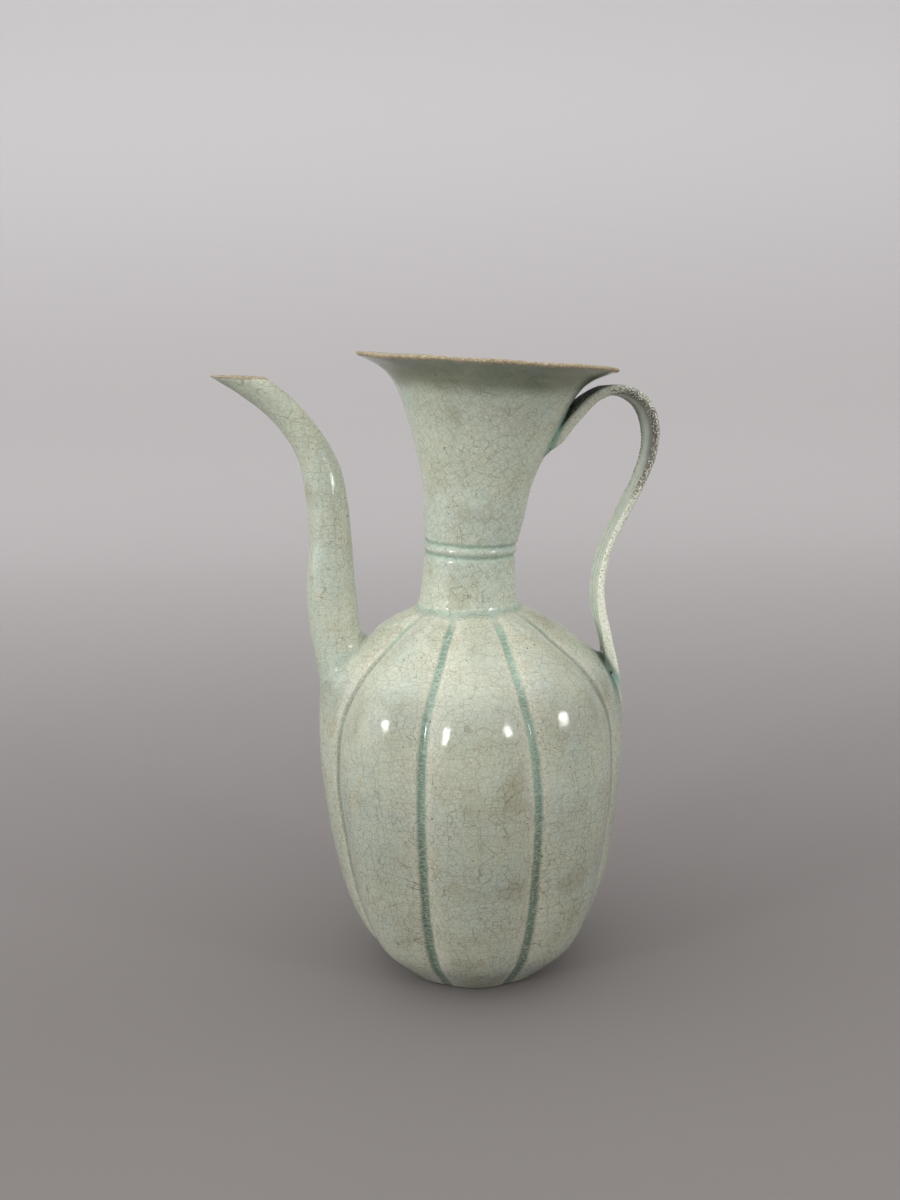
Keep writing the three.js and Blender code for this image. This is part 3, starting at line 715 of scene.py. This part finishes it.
def build_strap():
    path = strap_path
    count = 176
    rings, kinds, plain = [], None, []
    rows = range(len(path.c))
    for i in rows:
        sec, kinds = strap_section(count, path.c[i, 2])
        tw = rad(path.c[i, 3])
        c, s = math.cos(tw), math.sin(tw)
        across = sec[:, 0] * c + sec[:, 1] * s
        out = sec[:, 1] * c - sec[:, 0] * s
        rings.append(np.stack([path.c[i, 0] + path.n[i, 0] * out, across, path.c[i, 1] + path.n[i, 1] * out], 1))
        flat = np.where(kinds == 0, sec[:, 1] - path.c[i, 2] / 2, np.where(kinds == 2, -path.c[i, 2] / 2 - sec[:, 1], 0))
        plain.append(flat)
    rings = np.array(rings)
    m, n = rings.shape[:2]
    p = rings.reshape(-1, 3)
    off = np.array(plain).reshape(-1)
    ctr = np.repeat(path.c[:, :2], n, 0)
    nrm = np.stack([p[:, 0] - ctr[:, 0], np.zeros(len(p)), p[:, 2] - ctr[:, 1]], 1)
    nrm /= np.maximum(np.linalg.norm(nrm, axis=1), 1e-6)[:, None]
    lump = 0.10 * wobble(p, 51, 16) + 0.05 * wobble(p, 52, 5)
    p = p + nrm * lump[:, None]
    p, fil = settle("strap", p, off + lump)
    # the ends stay inside the walls that they are joined to
    for dist in (neck_d, body_d):
        for _ in range(3):
            d = dist(p)
            deep = np.where(d < -2.4)[0]
            if not len(deep):
                break
            q, g, e = p[deep], np.zeros((len(deep), 3)), 0.03
            for a in range(3):
                hi, lo = q.copy(), q.copy()
                hi[:, a] += e
                lo[:, a] -= e
                g[:, a] = (dist(hi) - dist(lo)) / (2 * e)
            g /= np.maximum((g ** 2).sum(1), 0.25)[:, None]
            p[deep] = q + np.clip(-2.4 - d[deep], 0, 4)[:, None] * g
    rings = p.reshape(m, n, 3)
    kinds = np.tile(kinds, (m, 1))
    edge = (kinds == 1).astype(float)
    # the thin-glaze edge spreads a little on to both faces
    for _ in range(3):
        edge = np.maximum(edge, 0.6 * np.maximum(np.roll(edge, 1, 1), np.roll(edge, -1, 1)))
    sec, _ = strap_section(count, 4.2)
    ph = (sec[:, 0] + STRAP_WIDTH / 2 - 1.45) / (STRAP_WIDTH - 2.9)
    low = np.where(kinds[0] == 0, (1 - np.cos(2 * math.pi * RIBS * ph)) / 2, 0)
    low2 = np.where(kinds[0] == 2, (1 - np.cos(2 * math.pi * 3 * ph)) / 2 * 0.35, 0)
    band = np.tile(0.55 * low + low2, (m, 1)) * (1 - edge)
    v = arc_v(rings, 0.01, 0.99)
    # iron-dark speckled glaze along the comb marks by the neck and over the edges of the bend; the same mark is also
    # painted shadow of the rim over the comb marks and a painted dark reflection on the bend's edges
    s = np.repeat((path.s - STRAP_START)[:, None], n, 1)
    in_from_edge = STRAP_WIDTH / 2 - 1.45 - np.abs(sec[:, 0])
    part = np.where(kinds[0] == 1, 0.70 + 0.28 * smoothstep(0.9, -1.0, sec[:, 1]),
                    np.where(kinds[0] == 2, 0.75 * smoothstep(2.6, 0.2, in_from_edge), 0.55 * smoothstep(2.2, 0, in_from_edge)))
    face = smoothstep(1.0, 3.5, s) * smoothstep(36, 25, s) * (kinds == 0)
    rim = np.maximum(smoothstep(20, 36, s) * smoothstep(100, 72, s), 0.40 * smoothstep(60, 80, s) * smoothstep(142, 118, s)) * part[None]
    rest = 0.30 * smoothstep(24, 34, s) * smoothstep(70, 52, s) * (kinds == 0)
    attrs = {
        "band": band * 0.6, "ridge": edge * (1 - fil.reshape(m, n)), "pool": fil, "bare": np.zeros(m * n),
        "iron_and_shade": np.maximum(np.maximum(face, rim), rest),
        # painted shade: the strap's inner face darkened towards its near edge round the bend
        "inner_face_shade": smoothstep(24, 38, s) * smoothstep(86, 62, s) * (kinds == 2) * smoothstep(10.5, 1.0, sec[:, 0] + STRAP_WIDTH / 2 - 1.45)[None],
    }
    return grid_mesh("ewer_handle", rings, v, attrs, caps=(tuple(rings[0].mean(0)), tuple(rings[-1].mean(0))))


# ------------------------------------------------------------------ materials
def lin(c):
    c = np.array(c, float) / 255
    c = np.where(c <= 0.04045, c / 12.92, ((c + 0.055) / 1.055) ** 2.4)
    return (float(c[0]), float(c[1]), float(c[2]), 1.0)


class Nodes:
    def __init__(self, mat):
        mat.use_nodes = True
        self.t = mat.node_tree
        for n in list(self.t.nodes):
            self.t.nodes.remove(n)

    def add(self, kind, **kw):
        n = self.t.nodes.new(kind)
        for k, v in kw.items():
            setattr(n, k, v)
        return n

    def link(self, a, b):
        self.t.links.new(a, b)

    def put(self, socket, v):
        if isinstance(v, bpy.types.NodeSocket):
            self.link(v, socket)
        else:
            socket.default_value = v

    def math(self, op, a, b=0.0, clamp=False):
        n = self.add("ShaderNodeMath", operation=op, use_clamp=clamp)
        self.put(n.inputs[0], a)
        self.put(n.inputs[1], b)
        return n.outputs[0]

    def vmath(self, op, a, b=(0, 0, 0), scale=None):
        n = self.add("ShaderNodeVectorMath", operation=op)
        self.put(n.inputs[0], a)
        self.put(n.inputs[1], b)
        if scale is not None:
            self.put(n.inputs[3], scale)
        return n.outputs[0]

    def mix(self, f, a, b, blend="MIX"):
        n = self.add("ShaderNodeMix", data_type="RGBA", blend_type=blend)
        self.put(n.inputs[0], f)
        self.put(n.inputs[6], a)
        self.put(n.inputs[7], b)
        return n.outputs[2]

    def ramp(self, v, lo, hi, a=0.0, b=1.0, smooth=True):
        n = self.add("ShaderNodeMapRange", interpolation_type="SMOOTHSTEP" if smooth else "LINEAR")
        self.put(n.inputs[0], v)
        for i, q in zip((1, 2, 3, 4), (lo, hi, a, b)):
            self.put(n.inputs[i], q)
        return n.outputs[0]

    def noise(self, vec, scale, detail=2.0, rough=0.5, seed=None):
        n = self.add("ShaderNodeTexNoise")
        n.inputs["Scale"].default_value = scale
        n.inputs["Detail"].default_value = detail
        n.inputs["Roughness"].default_value = rough
        if seed is not None:
            vec = self.vmath("ADD", vec, (seed * 13.7, seed * 7.1, seed * 3.3))
        self.put(n.inputs["Vector"], vec)
        return n

    def voronoi(self, vec, scale, feature="F1", randomness=1.0):
        n = self.add("ShaderNodeTexVoronoi", feature=feature)
        n.inputs["Scale"].default_value = scale
        n.inputs["Randomness"].default_value = randomness
        self.put(n.inputs["Vector"], vec)
        return n

    def attr(self, name):
        return self.add("ShaderNodeAttribute", attribute_name=name).outputs["Fac"]


def glaze(name, stretch=(1, 1, 1), turn=(0, 0, 0), cells=(5.4, 2.7, 1.5), regular=0.6, warm=0.5, cracks=1.0, tint=(1, 1, 1), shade=(), under=None, clear=None, dim=None):
    """Crackled celadon-like glaze over porcelain. Its pattern lies in the object's own coordinates, in mm. shade rows
    are (z, brightness, z, brightness) of painted light and shade down the height. under is (z, z) where olive glaze
    gathers below a rim, darkened there as painted shadow of the rim as well. clear is (z, z) over which the crackle
    weakens. dim is (x, x, z, z, amount): painted shade that darkens one side.
    """
    mat = bpy.data.materials.new(name)
    N = Nodes(mat)
    out = N.add("ShaderNodeOutputMaterial")
    bsdf = N.add("ShaderNodeBsdfPrincipled")
    N.link(bsdf.outputs[0], out.inputs[0])
    coord = N.add("ShaderNodeTexCoord").outputs["Object"]
    mm = N.vmath("SCALE", coord, scale=1000.0)
    xyz = N.add("ShaderNodeSeparateXYZ")
    N.link(mm, xyz.inputs[0])
    height = xyz.outputs[2]
    band, ridge, pool, bare, iron_and_shade = (N.attr(a) for a in ("band", "ridge", "pool", "bare", "iron_and_shade"))

    # --- crackle: each coarse cell breaks into its own finer cells, so that fine cracks end on coarse ones
    mp = N.add("ShaderNodeMapping")
    N.put(mp.inputs["Vector"], mm)
    mp.inputs["Rotation"].default_value = [rad(a) for a in turn]
    mp.inputs["Scale"].default_value = stretch
    q = mp.outputs[0]
    bend = N.noise(q, 0.10, 2.0, 0.5, seed=1)
    q = N.vmath("ADD", q, N.vmath("SCALE", N.vmath("SUBTRACT", bend.outputs["Color"], (0.5, 0.5, 0.5)), scale=1.6))
    fine = N.noise(q, 0.9, 1.0, 0.5, seed=2)
    q = N.vmath("ADD", q, N.vmath("SCALE", N.vmath("SUBTRACT", fine.outputs["Color"], (0.5, 0.5, 0.5)), scale=0.10))
    s1, s2, s3 = (1.0 / c for c in cells)
    v1 = N.voronoi(q, s1, "F1", regular)
    e1 = N.math("MULTIPLY", N.voronoi(q, s1, "DISTANCE_TO_EDGE", regular).outputs["Distance"], cells[0])
    q2 = N.vmath("ADD", q, N.vmath("SCALE", v1.outputs["Color"], scale=61.0))
    v2 = N.voronoi(q2, s2, "F1", regular)
    e2 = N.math("MULTIPLY", N.voronoi(q2, s2, "DISTANCE_TO_EDGE", regular).outputs["Distance"], cells[1])
    q3 = N.vmath("ADD", q2, N.vmath("SCALE", v2.outputs["Color"], scale=47.0))
    e3 = N.math("MULTIPLY", N.voronoi(q3, s3, "DISTANCE_TO_EDGE", regular).outputs["Distance"], cells[2])
    vary = N.noise(mm, 0.055, 3.0, 0.6, seed=3).outputs["Fac"]
    vary2 = N.noise(mm, 0.35, 2.0, 0.6, seed=4).outputs["Fac"]
    l1 = N.math("MULTIPLY", N.ramp(e1, 0.03, 0.12, 1.0, 0.0), N.ramp(vary2, 0.25, 0.55, 0.65, 1.0))
    l2 = N.math("MULTIPLY", N.ramp(e2, 0.02, 0.12, 1.0, 0.0), N.ramp(vary2, 0.30, 0.62, 0.5, 1.0))
    l3 = N.math("MULTIPLY", N.ramp(e3, 0.02, 0.10, 1.0, 0.0), N.ramp(vary, 0.36, 0.62, 0.25, 0.8))
    crack = N.math("MAXIMUM", N.math("MULTIPLY", l1, 0.78), N.math("MAXIMUM", N.math("MULTIPLY", l2, 0.75), N.math("MULTIPLY", l3, 0.6)))
    crack = N.math("MULTIPLY", crack, N.ramp(N.noise(mm, 0.12, 2.0, 0.5, seed=5).outputs["Fac"], 0.25, 0.7, 0.5, 1.0))
    crack = N.math("MULTIPLY", crack, cracks)
    if clear:
        crack = N.math("MULTIPLY", crack, N.ramp(height, clear[0], clear[1], 1.0, 0.78))

    # --- colour: cool and warm clouds, thin glaze on high places, teal pools in low ones
    cloud = N.noise(mm, 0.024, 4.0, 0.55, seed=6).outputs["Fac"]
    cloud2 = N.noise(mm, 0.085, 4.0, 0.6, seed=7).outputs["Fac"]
    col = N.mix(N.ramp(cloud, 0.40, 0.62), lin((190, 194, 174)), lin((183, 192, 178)))
    col = N.mix(N.math("MULTIPLY", N.ramp(cloud2, 0.48, 0.70), 0.35 + 0.4 * warm), col, lin((192, 189, 164)))
    col = N.mix(N.math("MULTIPLY", N.ramp(N.noise(mm, 0.045, 3.0, 0.55, seed=8).outputs["Fac"], 0.54, 0.74), 0.42 + 0.5 * warm), col, lin((162, 157, 132)))
    # the glaze over each small cell differs a little
    cell = N.add("ShaderNodeSeparateColor")
    N.link(v2.outputs["Color"], cell.inputs[0])
    col = N.mix(N.math("MULTIPLY", cell.outputs[0], 0.14), col, lin((216, 217, 198)))
    # high places: glaze runs thin and warm-white
    col = N.mix(N.math("MULTIPLY", ridge, 0.76), col, lin((217, 215, 196)))
    mottle = N.noise(mm, 0.9, 3.0, 0.65, seed=9).outputs["Fac"]
    col = N.mix(N.ramp(mottle, 0.35, 0.75, 0.0, 0.30), col, lin((146, 148, 128)))
    # pooled glaze: paler high up, dark green lower down
    deep = N.noise(mm, 0.05, 2.0, 0.5, seed=10).outputs["Fac"]
    teal = N.mix(N.ramp(deep, 0.35, 0.65), lin((142, 168, 150)), lin((112, 140, 124)))
    teal = N.mix(N.ramp(height, 125, 60, 0.0, 1.0), teal, lin((92, 116, 98)))
    # painted shade: the pooled bands in the grooves towards the sides turn grey-olive, standing in for the shade on the
    # grooves' walls
    side_groove_shade = N.ramp(N.math("ABSOLUTE", xyz.outputs[0]), 30, 40)
    teal = N.mix(side_groove_shade, teal, lin((122, 130, 112)))
    col = N.mix(N.math("MULTIPLY", band, 0.88), col, teal)
    # glaze pooled in the joins is teal, but very dark green in the crotch below the handle's root and in the corner by
    # the spout; that dark green is partly painted shade of those corners
    right = N.ramp(xyz.outputs[0], 42, 50)
    low_right = N.math("MULTIPLY", N.math("MULTIPLY", right, N.ramp(height, 205, 150)), N.ramp(height, 127, 136))
    corner = N.math("MULTIPLY", N.ramp(xyz.outputs[0], -51, -46), N.ramp(xyz.outputs[0], -32, -38))
    corner = N.math("MULTIPLY", corner, N.math("MULTIPLY", N.ramp(height, 139, 145), N.ramp(height, 158, 150, 0.0, 0.85)))
    low_right = N.math("MAXIMUM", low_right, corner)
    faded = N.math("SUBTRACT", 1.0, N.math("MULTIPLY", right, N.ramp(height, 130, 116, 0.0, 0.85)))
    pool_and_shade = N.mix(N.math("SUBTRACT", 1.0, low_right), lin((58, 80, 60)), N.mix(N.ramp(deep, 0.4, 0.6), lin((104, 140, 128)), lin((124, 152, 134))))
    col = N.mix(N.math("MULTIPLY", N.math("MULTIPLY", N.ramp(pool, 0.25, 0.95), 0.86), faded), col, pool_and_shade)
    # crackle lines, stained grey-brown
    stain = N.mix(vary, lin((72, 74, 58)), lin((98, 82, 58)))
    col = N.mix(N.math("MULTIPLY", crack, N.math("SUBTRACT", 0.70, N.math("MULTIPLY", band, 0.45))), col, stain)
    # a stain that has crept in beside the cracks
    halo = N.math("MULTIPLY", N.ramp(e1, 0.1, 1.2, 1.0, 0.0), N.ramp(vary, 0.48, 0.70, 0.0, 0.16))
    col = N.mix(halo, col, lin((160, 150, 122)))
    # pale short cracks across the pooled bands
    flat = N.add("ShaderNodeMapping")
    N.put(flat.inputs["Vector"], mm)
    flat.inputs["Scale"].default_value = (0.22, 0.22, 0.75)
    e4 = N.voronoi(flat.outputs[0], 1.0, "DISTANCE_TO_EDGE", 0.9).outputs["Distance"]
    col = N.mix(N.math("MULTIPLY", N.math("MULTIPLY", N.ramp(e4, 0.02, 0.09, 1.0, 0.0), band), 0.45), col, lin((196, 206, 190)))
    # iron specks and pin holes
    sp = N.voronoi(mm, 0.32, "F1", 1.0)
    spc = N.add("ShaderNodeSeparateColor")
    N.link(sp.outputs["Color"], spc.inputs[0])
    size = N.math("MULTIPLY", N.math("POWER", spc.outputs[0], 7.0), 0.17)
    speck = N.math("MULTIPLY", N.ramp(N.math("SUBTRACT", sp.outputs["Distance"], size), -0.02, 0.03, 1.0, 0.0), N.ramp(spc.outputs[1], 0.35, 0.6, 0.0, 0.75))
    sp2 = N.voronoi(mm, 1.15, "F1", 1.0)
    spc2 = N.add("ShaderNodeSeparateColor")
    N.link(sp2.outputs["Color"], spc2.inputs[0])
    crowd = N.math("MAXIMUM", N.ramp(cloud2, 0.38, 0.6, 0.3, 1.0), N.math("MULTIPLY", ridge, 1.2))
    speck2 = N.math("MULTIPLY", N.ramp(sp2.outputs["Distance"], 0.06, 0.28, 1.0, 0.0), N.ramp(spc2.outputs[0], 0.54, 0.78, 0.0, 0.62))
    speck2 = N.math("MULTIPLY", speck2, crowd)
    sp3 = N.voronoi(mm, 0.62, "F1", 1.0)
    spc3 = N.add("ShaderNodeSeparateColor")
    N.link(sp3.outputs["Color"], spc3.inputs[0])
    dot = N.math("ADD", 0.06, N.math("MULTIPLY", spc3.outputs[1], 0.14))
    speck3 = N.math("MULTIPLY", N.ramp(N.math("SUBTRACT", sp3.outputs["Distance"], dot), -0.02, 0.04, 1.0, 0.0), N.ramp(spc3.outputs[0], 0.40, 0.70, 0.0, 0.70))
    speck2 = N.math("MAXIMUM", speck2, N.math("MULTIPLY", speck3, N.math("ADD", crowd, 0.1)))
    col = N.mix(N.math("MAXIMUM", speck, speck2), col, lin((90, 76, 56)))
    # freckles where the glaze is thin on an edge
    ed = N.noise(mm, 1.3, 3.0, 0.7, seed=11).outputs["Fac"]
    col = N.mix(N.math("MULTIPLY", ridge, N.ramp(ed, 0.54, 0.66, 0.0, 0.55)), col, lin((124, 104, 76)))
    # painted shade: dark grey on the strap's inner face by its near edge round the bend
    col = N.mix(N.math("MULTIPLY", N.attr("inner_face_shade"), 0.85), col, lin((66, 68, 62)))
    # dark brown speckled blotches of iron-dark glaze, partly painted shade and painted dark reflection, with pale dots
    # that are painted glints
    grain = N.noise(mm, 1.5, 4.0, 0.75, seed=17).outputs["Fac"]
    edge_at = N.math("SUBTRACT", 0.68, N.math("MULTIPLY", iron_and_shade, 0.25))
    dark = N.ramp(N.math("SUBTRACT", grain, edge_at), -0.05, 0.05, 0.0, 0.92)
    dark = N.math("MULTIPLY", dark, N.ramp(iron_and_shade, 0.02, 0.25))
    col = N.mix(dark, col, N.mix(grain, lin((30, 26, 20)), lin((78, 66, 50))))
    # painted glints: pale dots on the edges of the dark places
    glint = N.voronoi(mm, 1.5, "F1", 1.0)
    gc = N.add("ShaderNodeSeparateColor")
    N.link(glint.outputs["Color"], gc.inputs[0])
    spark = N.math("MULTIPLY", N.ramp(glint.outputs["Distance"], 0.18, 0.40, 1.0, 0.0), N.ramp(gc.outputs[0], 0.50, 0.62))
    spark = N.math("MULTIPLY", N.math("MULTIPLY", spark, N.math("MULTIPLY", iron_and_shade, ridge)), 0.9)
    col = N.mix(spark, col, lin((236, 234, 224)))
    # bare porcelain
    clay = N.mix(N.ramp(N.noise(mm, 0.4, 4.0, 0.6, seed=12).outputs["Fac"], 0.35, 0.7), lin((158, 136, 100)), lin((116, 90, 60)))
    clay = N.mix(N.ramp(N.noise(mm, 1.8, 3.0, 0.7, seed=13).outputs["Fac"], 0.48, 0.72, 0.0, 0.6), clay, lin((88, 72, 52)))
    clay = N.mix(N.ramp(N.noise(mm, 2.6, 2.0, 0.7, seed=18).outputs["Fac"], 0.55, 0.64, 0.0, 0.85), clay, lin((226, 222, 206)))
    col = N.mix(N.math("MULTIPLY", bare, 0.93), col, clay)
    if under:
        # olive glaze gathered below the rim, more to the right, which is also painted shadow of the rim
        side = N.math("ADD", height, N.math("MULTIPLY", xyz.outputs[0], 0.07))
        side = N.math("ADD", side, N.math("MULTIPLY", N.noise(mm, 0.08, 3.0, 0.6, seed=19).outputs["Fac"], 5.0))
        pool_and_shade = N.math("MULTIPLY", N.ramp(side, under[0] + 2.5, under[1] + 2.5, 0.0, 0.72), N.math("SUBTRACT", 1.0, bare))
        col = N.mix(pool_and_shade, col, N.mix(N.ramp(deep, 0.4, 0.6), lin((104, 104, 76)), lin((78, 88, 66))))
    # painted light and shade: the coat is made lighter or darker down the height by the shade rows, and darker on one
    # side by dim
    light_and_shade = 1.0
    for z0, b0, z1, b1 in shade:
        light_and_shade = N.math("MULTIPLY", N.ramp(height, z0, z1, b0, b1), light_and_shade)
    # painted shade: one side of the coat darkened over a band of height
    if dim:
        shaded_side = N.math("MULTIPLY", N.ramp(xyz.outputs[0], dim[0], dim[1]), N.ramp(height, dim[2], dim[3], 0.0, dim[4]))
        light_and_shade = N.math("MULTIPLY", N.math("SUBTRACT", 1.0, shaded_side), light_and_shade)
    both = N.add("ShaderNodeCombineXYZ")
    for k in range(3):
        N.put(both.inputs[k], N.math("MULTIPLY", light_and_shade, tint[k]))
    col = N.mix(1.0, col, both.outputs[0], "MULTIPLY")
    N.link(col, bsdf.inputs["Base Color"])

    # --- gloss
    dull = N.ramp(N.noise(mm, 0.11, 3.0, 0.6, seed=14).outputs["Fac"], 0.35, 0.75, 0.03, 0.09)
    rough = N.math("ADD", dull, N.math("MULTIPLY", crack, 0.12))
    rough = N.math("ADD", N.math("MULTIPLY", rough, N.math("SUBTRACT", 1.0, bare)), N.math("MULTIPLY", bare, 0.62))
    N.link(rough, bsdf.inputs["Roughness"])
    bsdf.inputs["IOR"].default_value = 1.5
    bsdf.inputs["Specular IOR Level"].default_value = 0.5

    # --- relief finer than the mesh: pitted skin, crack lines
    pit = N.noise(mm, 1.3, 2.0, 0.55, seed=15).outputs["Fac"]
    pit2 = N.noise(mm, 0.33, 2.0, 0.5, seed=16).outputs["Fac"]
    hgt = N.math("ADD", N.math("MULTIPLY", pit, 0.07), N.math("MULTIPLY", pit2, 0.09))
    hgt = N.math("SUBTRACT", hgt, N.math("MULTIPLY", crack, 0.022))
    hgt = N.math("SUBTRACT", hgt, N.math("MULTIPLY", speck, 0.05))
    hgt = N.math("ADD", hgt, N.math("MULTIPLY", N.math("MULTIPLY", grain, iron_and_shade), 0.5))
    bump = N.add("ShaderNodeBump")
    bump.inputs["Strength"].default_value = 0.5
    bump.inputs["Distance"].default_value = 0.001
    N.put(bump.inputs["Height"], hgt)
    N.link(bump.outputs[0], bsdf.inputs["Normal"])
    return mat


def floor_material():
    mat = bpy.data.materials.new("floor_paper")
    N = Nodes(mat)
    out = N.add("ShaderNodeOutputMaterial")
    bsdf = N.add("ShaderNodeBsdfPrincipled")
    N.link(bsdf.outputs[0], out.inputs[0])
    coord = N.add("ShaderNodeTexCoord").outputs["Object"]
    n = N.noise(coord, 2.0, 2.0, 0.5).outputs["Fac"]
    # painted light and shade: the sweep is darker near the front and grows paler up the wall
    near = N.mix(N.ramp(n, 0.3, 0.7), lin((112, 108, 107)), lin((117, 113, 112)))
    sep = N.add("ShaderNodeSeparateXYZ")
    N.link(coord, sep.inputs[0])
    far = N.mix(N.ramp(sep.outputs[2], 0.10, 0.75), lin((178, 175, 177)), lin((231, 229, 232)))
    N.link(N.mix(N.ramp(sep.outputs[1], -0.1, 1.3), near, far), bsdf.inputs["Base Color"])
    bsdf.inputs["Roughness"].default_value = 0.75
    return mat


# ------------------------------------------------------------------ the pieces
body = build_body()
neck = build_neck()
spout = build_spout()
handle = build_strap()

mats = {
    body: glaze("glaze_body", stretch=(0.85, 0.85, 1.15), cells=(4.8, 2.5, 1.4), warm=0.6, cracks=1.12, tint=(0.99, 1.005, 1.02), shade=[(20, 1.14, 60, 1.0), (55, 0.80, 125, 1.0), (108, 1.0, 126, 0.86), (130, 1.0, 143, 1.23)], clear=(85, 125), dim=(10, 36, 98, 118, 0.14)),
    neck: glaze("glaze_neck", turn=(0, 38, 0), cells=(4.6, 2.5, 1.4), warm=0.35, tint=(1.16, 1.21, 1.26), shade=[(232, 1.0, 250, 0.92)], under=(251, 259)),
    spout: glaze("glaze_spout", stretch=(1.0, 1.0, 1.7), cells=(5.4, 2.9, 1.6), regular=0.55, warm=0.5, cracks=1.1, tint=(1.10, 1.13, 1.16), shade=[(236, 1.0, 256, 0.84)]),
    handle: glaze("glaze_handle", cells=(5.4, 2.9, 1.6), warm=0.45, cracks=0.6, tint=(1.29, 1.34, 1.40), shade=[(215, 1.0, 232, 0.80), (178, 1.16, 205, 1.0), (138, 0.86, 158, 1.0)]),
}
for ob, mat in mats.items():
    ob.data.materials.append(mat)
    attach(ob, "root")
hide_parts("body", "neck_luting")
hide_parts("neck")
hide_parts("spout", "spout_luting")
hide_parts("handle", "handle_upper_luting", "handle_lower_luting")

# ------------------------------------------------------------------ stage, camera and light
def sweep():
    """One seamless sheet: flat floor, a wide curve, then a wall."""
    prof = [(-1.6, 0.0), (-0.8, 0.0), (0.0, 0.0), (0.5, 0.0), (0.9, 0.0)]
    for i in range(1, 25):
        a = math.pi / 2 * i / 24
        prof.append((0.9 + 0.7 * math.sin(a), 0.7 * (1 - math.cos(a))))
    prof += [(1.6, 1.4), (1.6, 2.4)]
    me = bpy.data.meshes.new("studio_floor")
    xs = [-2.2, -1.0, 0.0, 1.0, 2.2]
    verts = [(x, y, z) for y, z in prof for x in xs]
    faces = []
    for i in range(len(prof) - 1):
        for j in range(len(xs) - 1):
            a = i * len(xs) + j
            faces.append((a, a + 1, a + 1 + len(xs), a + len(xs)))
    me.from_pydata(verts, [], faces)
    for poly in me.polygons:
        poly.use_smooth = True
    ob = bpy.data.objects.new("studio_floor", me)
    bpy.context.scene.collection.objects.link(ob)
    ob.data.materials.append(floor_material())
    return ob


floor = sweep()

CAM = (-0.025528, -0.562264, 0.288262)
cam_data = bpy.data.cameras.new("photo_camera")
cam_data.sensor_fit = "AUTO"
cam_data.sensor_width = 36.0
cam_data.lens = 1348.45 * 36.0 / 1200.0
cam_data.clip_start = 0.01
cam_data.clip_end = 20.0
camera = bpy.data.objects.new("photo_camera", cam_data)
camera.matrix_world = (
    Matrix.Translation(CAM) @ Matrix.Rotation(-rad(1.78587), 4, "Z")
    @ Matrix.Rotation(rad(90 - 12.4386), 4, "X") @ Matrix.Rotation(rad(-1.3301), 4, "Z")
)
bpy.context.scene.collection.objects.link(camera)
bpy.context.scene.camera = camera


def lamp(name, loc, target, size_x, size_y, watts, colour=(1, 1, 1)):
    d = bpy.data.lights.new(name, "AREA")
    d.shape = "RECTANGLE"
    d.size, d.size_y = size_x, size_y
    d.energy = watts
    d.color = colour
    o = bpy.data.objects.new(name, d)
    o.location = loc
    o.rotation_euler = (Vector(target) - Vector(loc)).to_track_quat("-Z", "Y").to_euler()
    bpy.context.scene.collection.objects.link(o)
    return o


W_UP, W_FLAT, W_LEFT, W_RIGHT, W_SPOT = 0.80, 0.30, 0.66, 0.22, 1.20
lamp("left_window", (-1.05, -0.80, 0.43), (0, 0, 0.13), 0.20, 0.17, 4.0 * W_SPOT)
lamp("right_window", (1.05, -0.80, 0.45), (0, 0, 0.13), 0.20, 0.17, 3.0 * W_SPOT)
lamp("left_panel", (-1.5, -0.35, 0.45), (0, 0, 0.16), 1.3, 1.1, 10.0 * W_LEFT)
lamp("right_panel", (1.5, -0.35, 0.45), (0, 0, 0.16), 1.3, 1.1, 10.0 * W_RIGHT)


def studio_dome():
    """Soft light from the whole upper half, strongest overhead and a little stronger from the left."""
    world = bpy.data.worlds.new("studio")
    world.use_nodes = True
    t = world.node_tree
    bg = t.nodes["Background"]
    co = t.nodes.new("ShaderNodeTexCoord")
    sep = t.nodes.new("ShaderNodeSeparateXYZ")
    t.links.new(co.outputs["Generated"], sep.inputs[0])
    parts = []
    for lo, hi, low, high in ((0.0, 0.9, 0.03 * W_UP, 1.65 * W_UP), (-0.05, 0.25, 0.0, 0.8 * W_FLAT)):
        up = t.nodes.new("ShaderNodeMapRange")
        up.interpolation_type = "SMOOTHSTEP"
        for k, v in zip((1, 2, 3, 4), (lo, hi, low, high)):
            up.inputs[k].default_value = v
        t.links.new(sep.outputs[2], up.inputs[0])
        parts.append(up.outputs[0])
    side = t.nodes.new("ShaderNodeMapRange")
    for k, v in zip((1, 2, 3, 4), (-1.0, 1.0, 1.15, 0.85)):
        side.inputs[k].default_value = v
    t.links.new(sep.outputs[0], side.inputs[0])
    lean_left = t.nodes.new("ShaderNodeMath")
    lean_left.operation = "MULTIPLY"
    t.links.new(parts[0], lean_left.inputs[0])
    t.links.new(side.outputs[0], lean_left.inputs[1])
    parts[0] = lean_left.outputs[0]
    m2 = t.nodes.new("ShaderNodeMath")
    m2.operation = "ADD"
    t.links.new(parts[0], m2.inputs[0])
    t.links.new(parts[1], m2.inputs[1])
    bg.inputs[0].default_value = (1.0, 0.985, 0.965, 1)
    t.links.new(m2.outputs[0], bg.inputs[1])
    bpy.context.scene.world = world


studio_dome()
bpy.context.scene.view_settings.view_transform = "Standard"
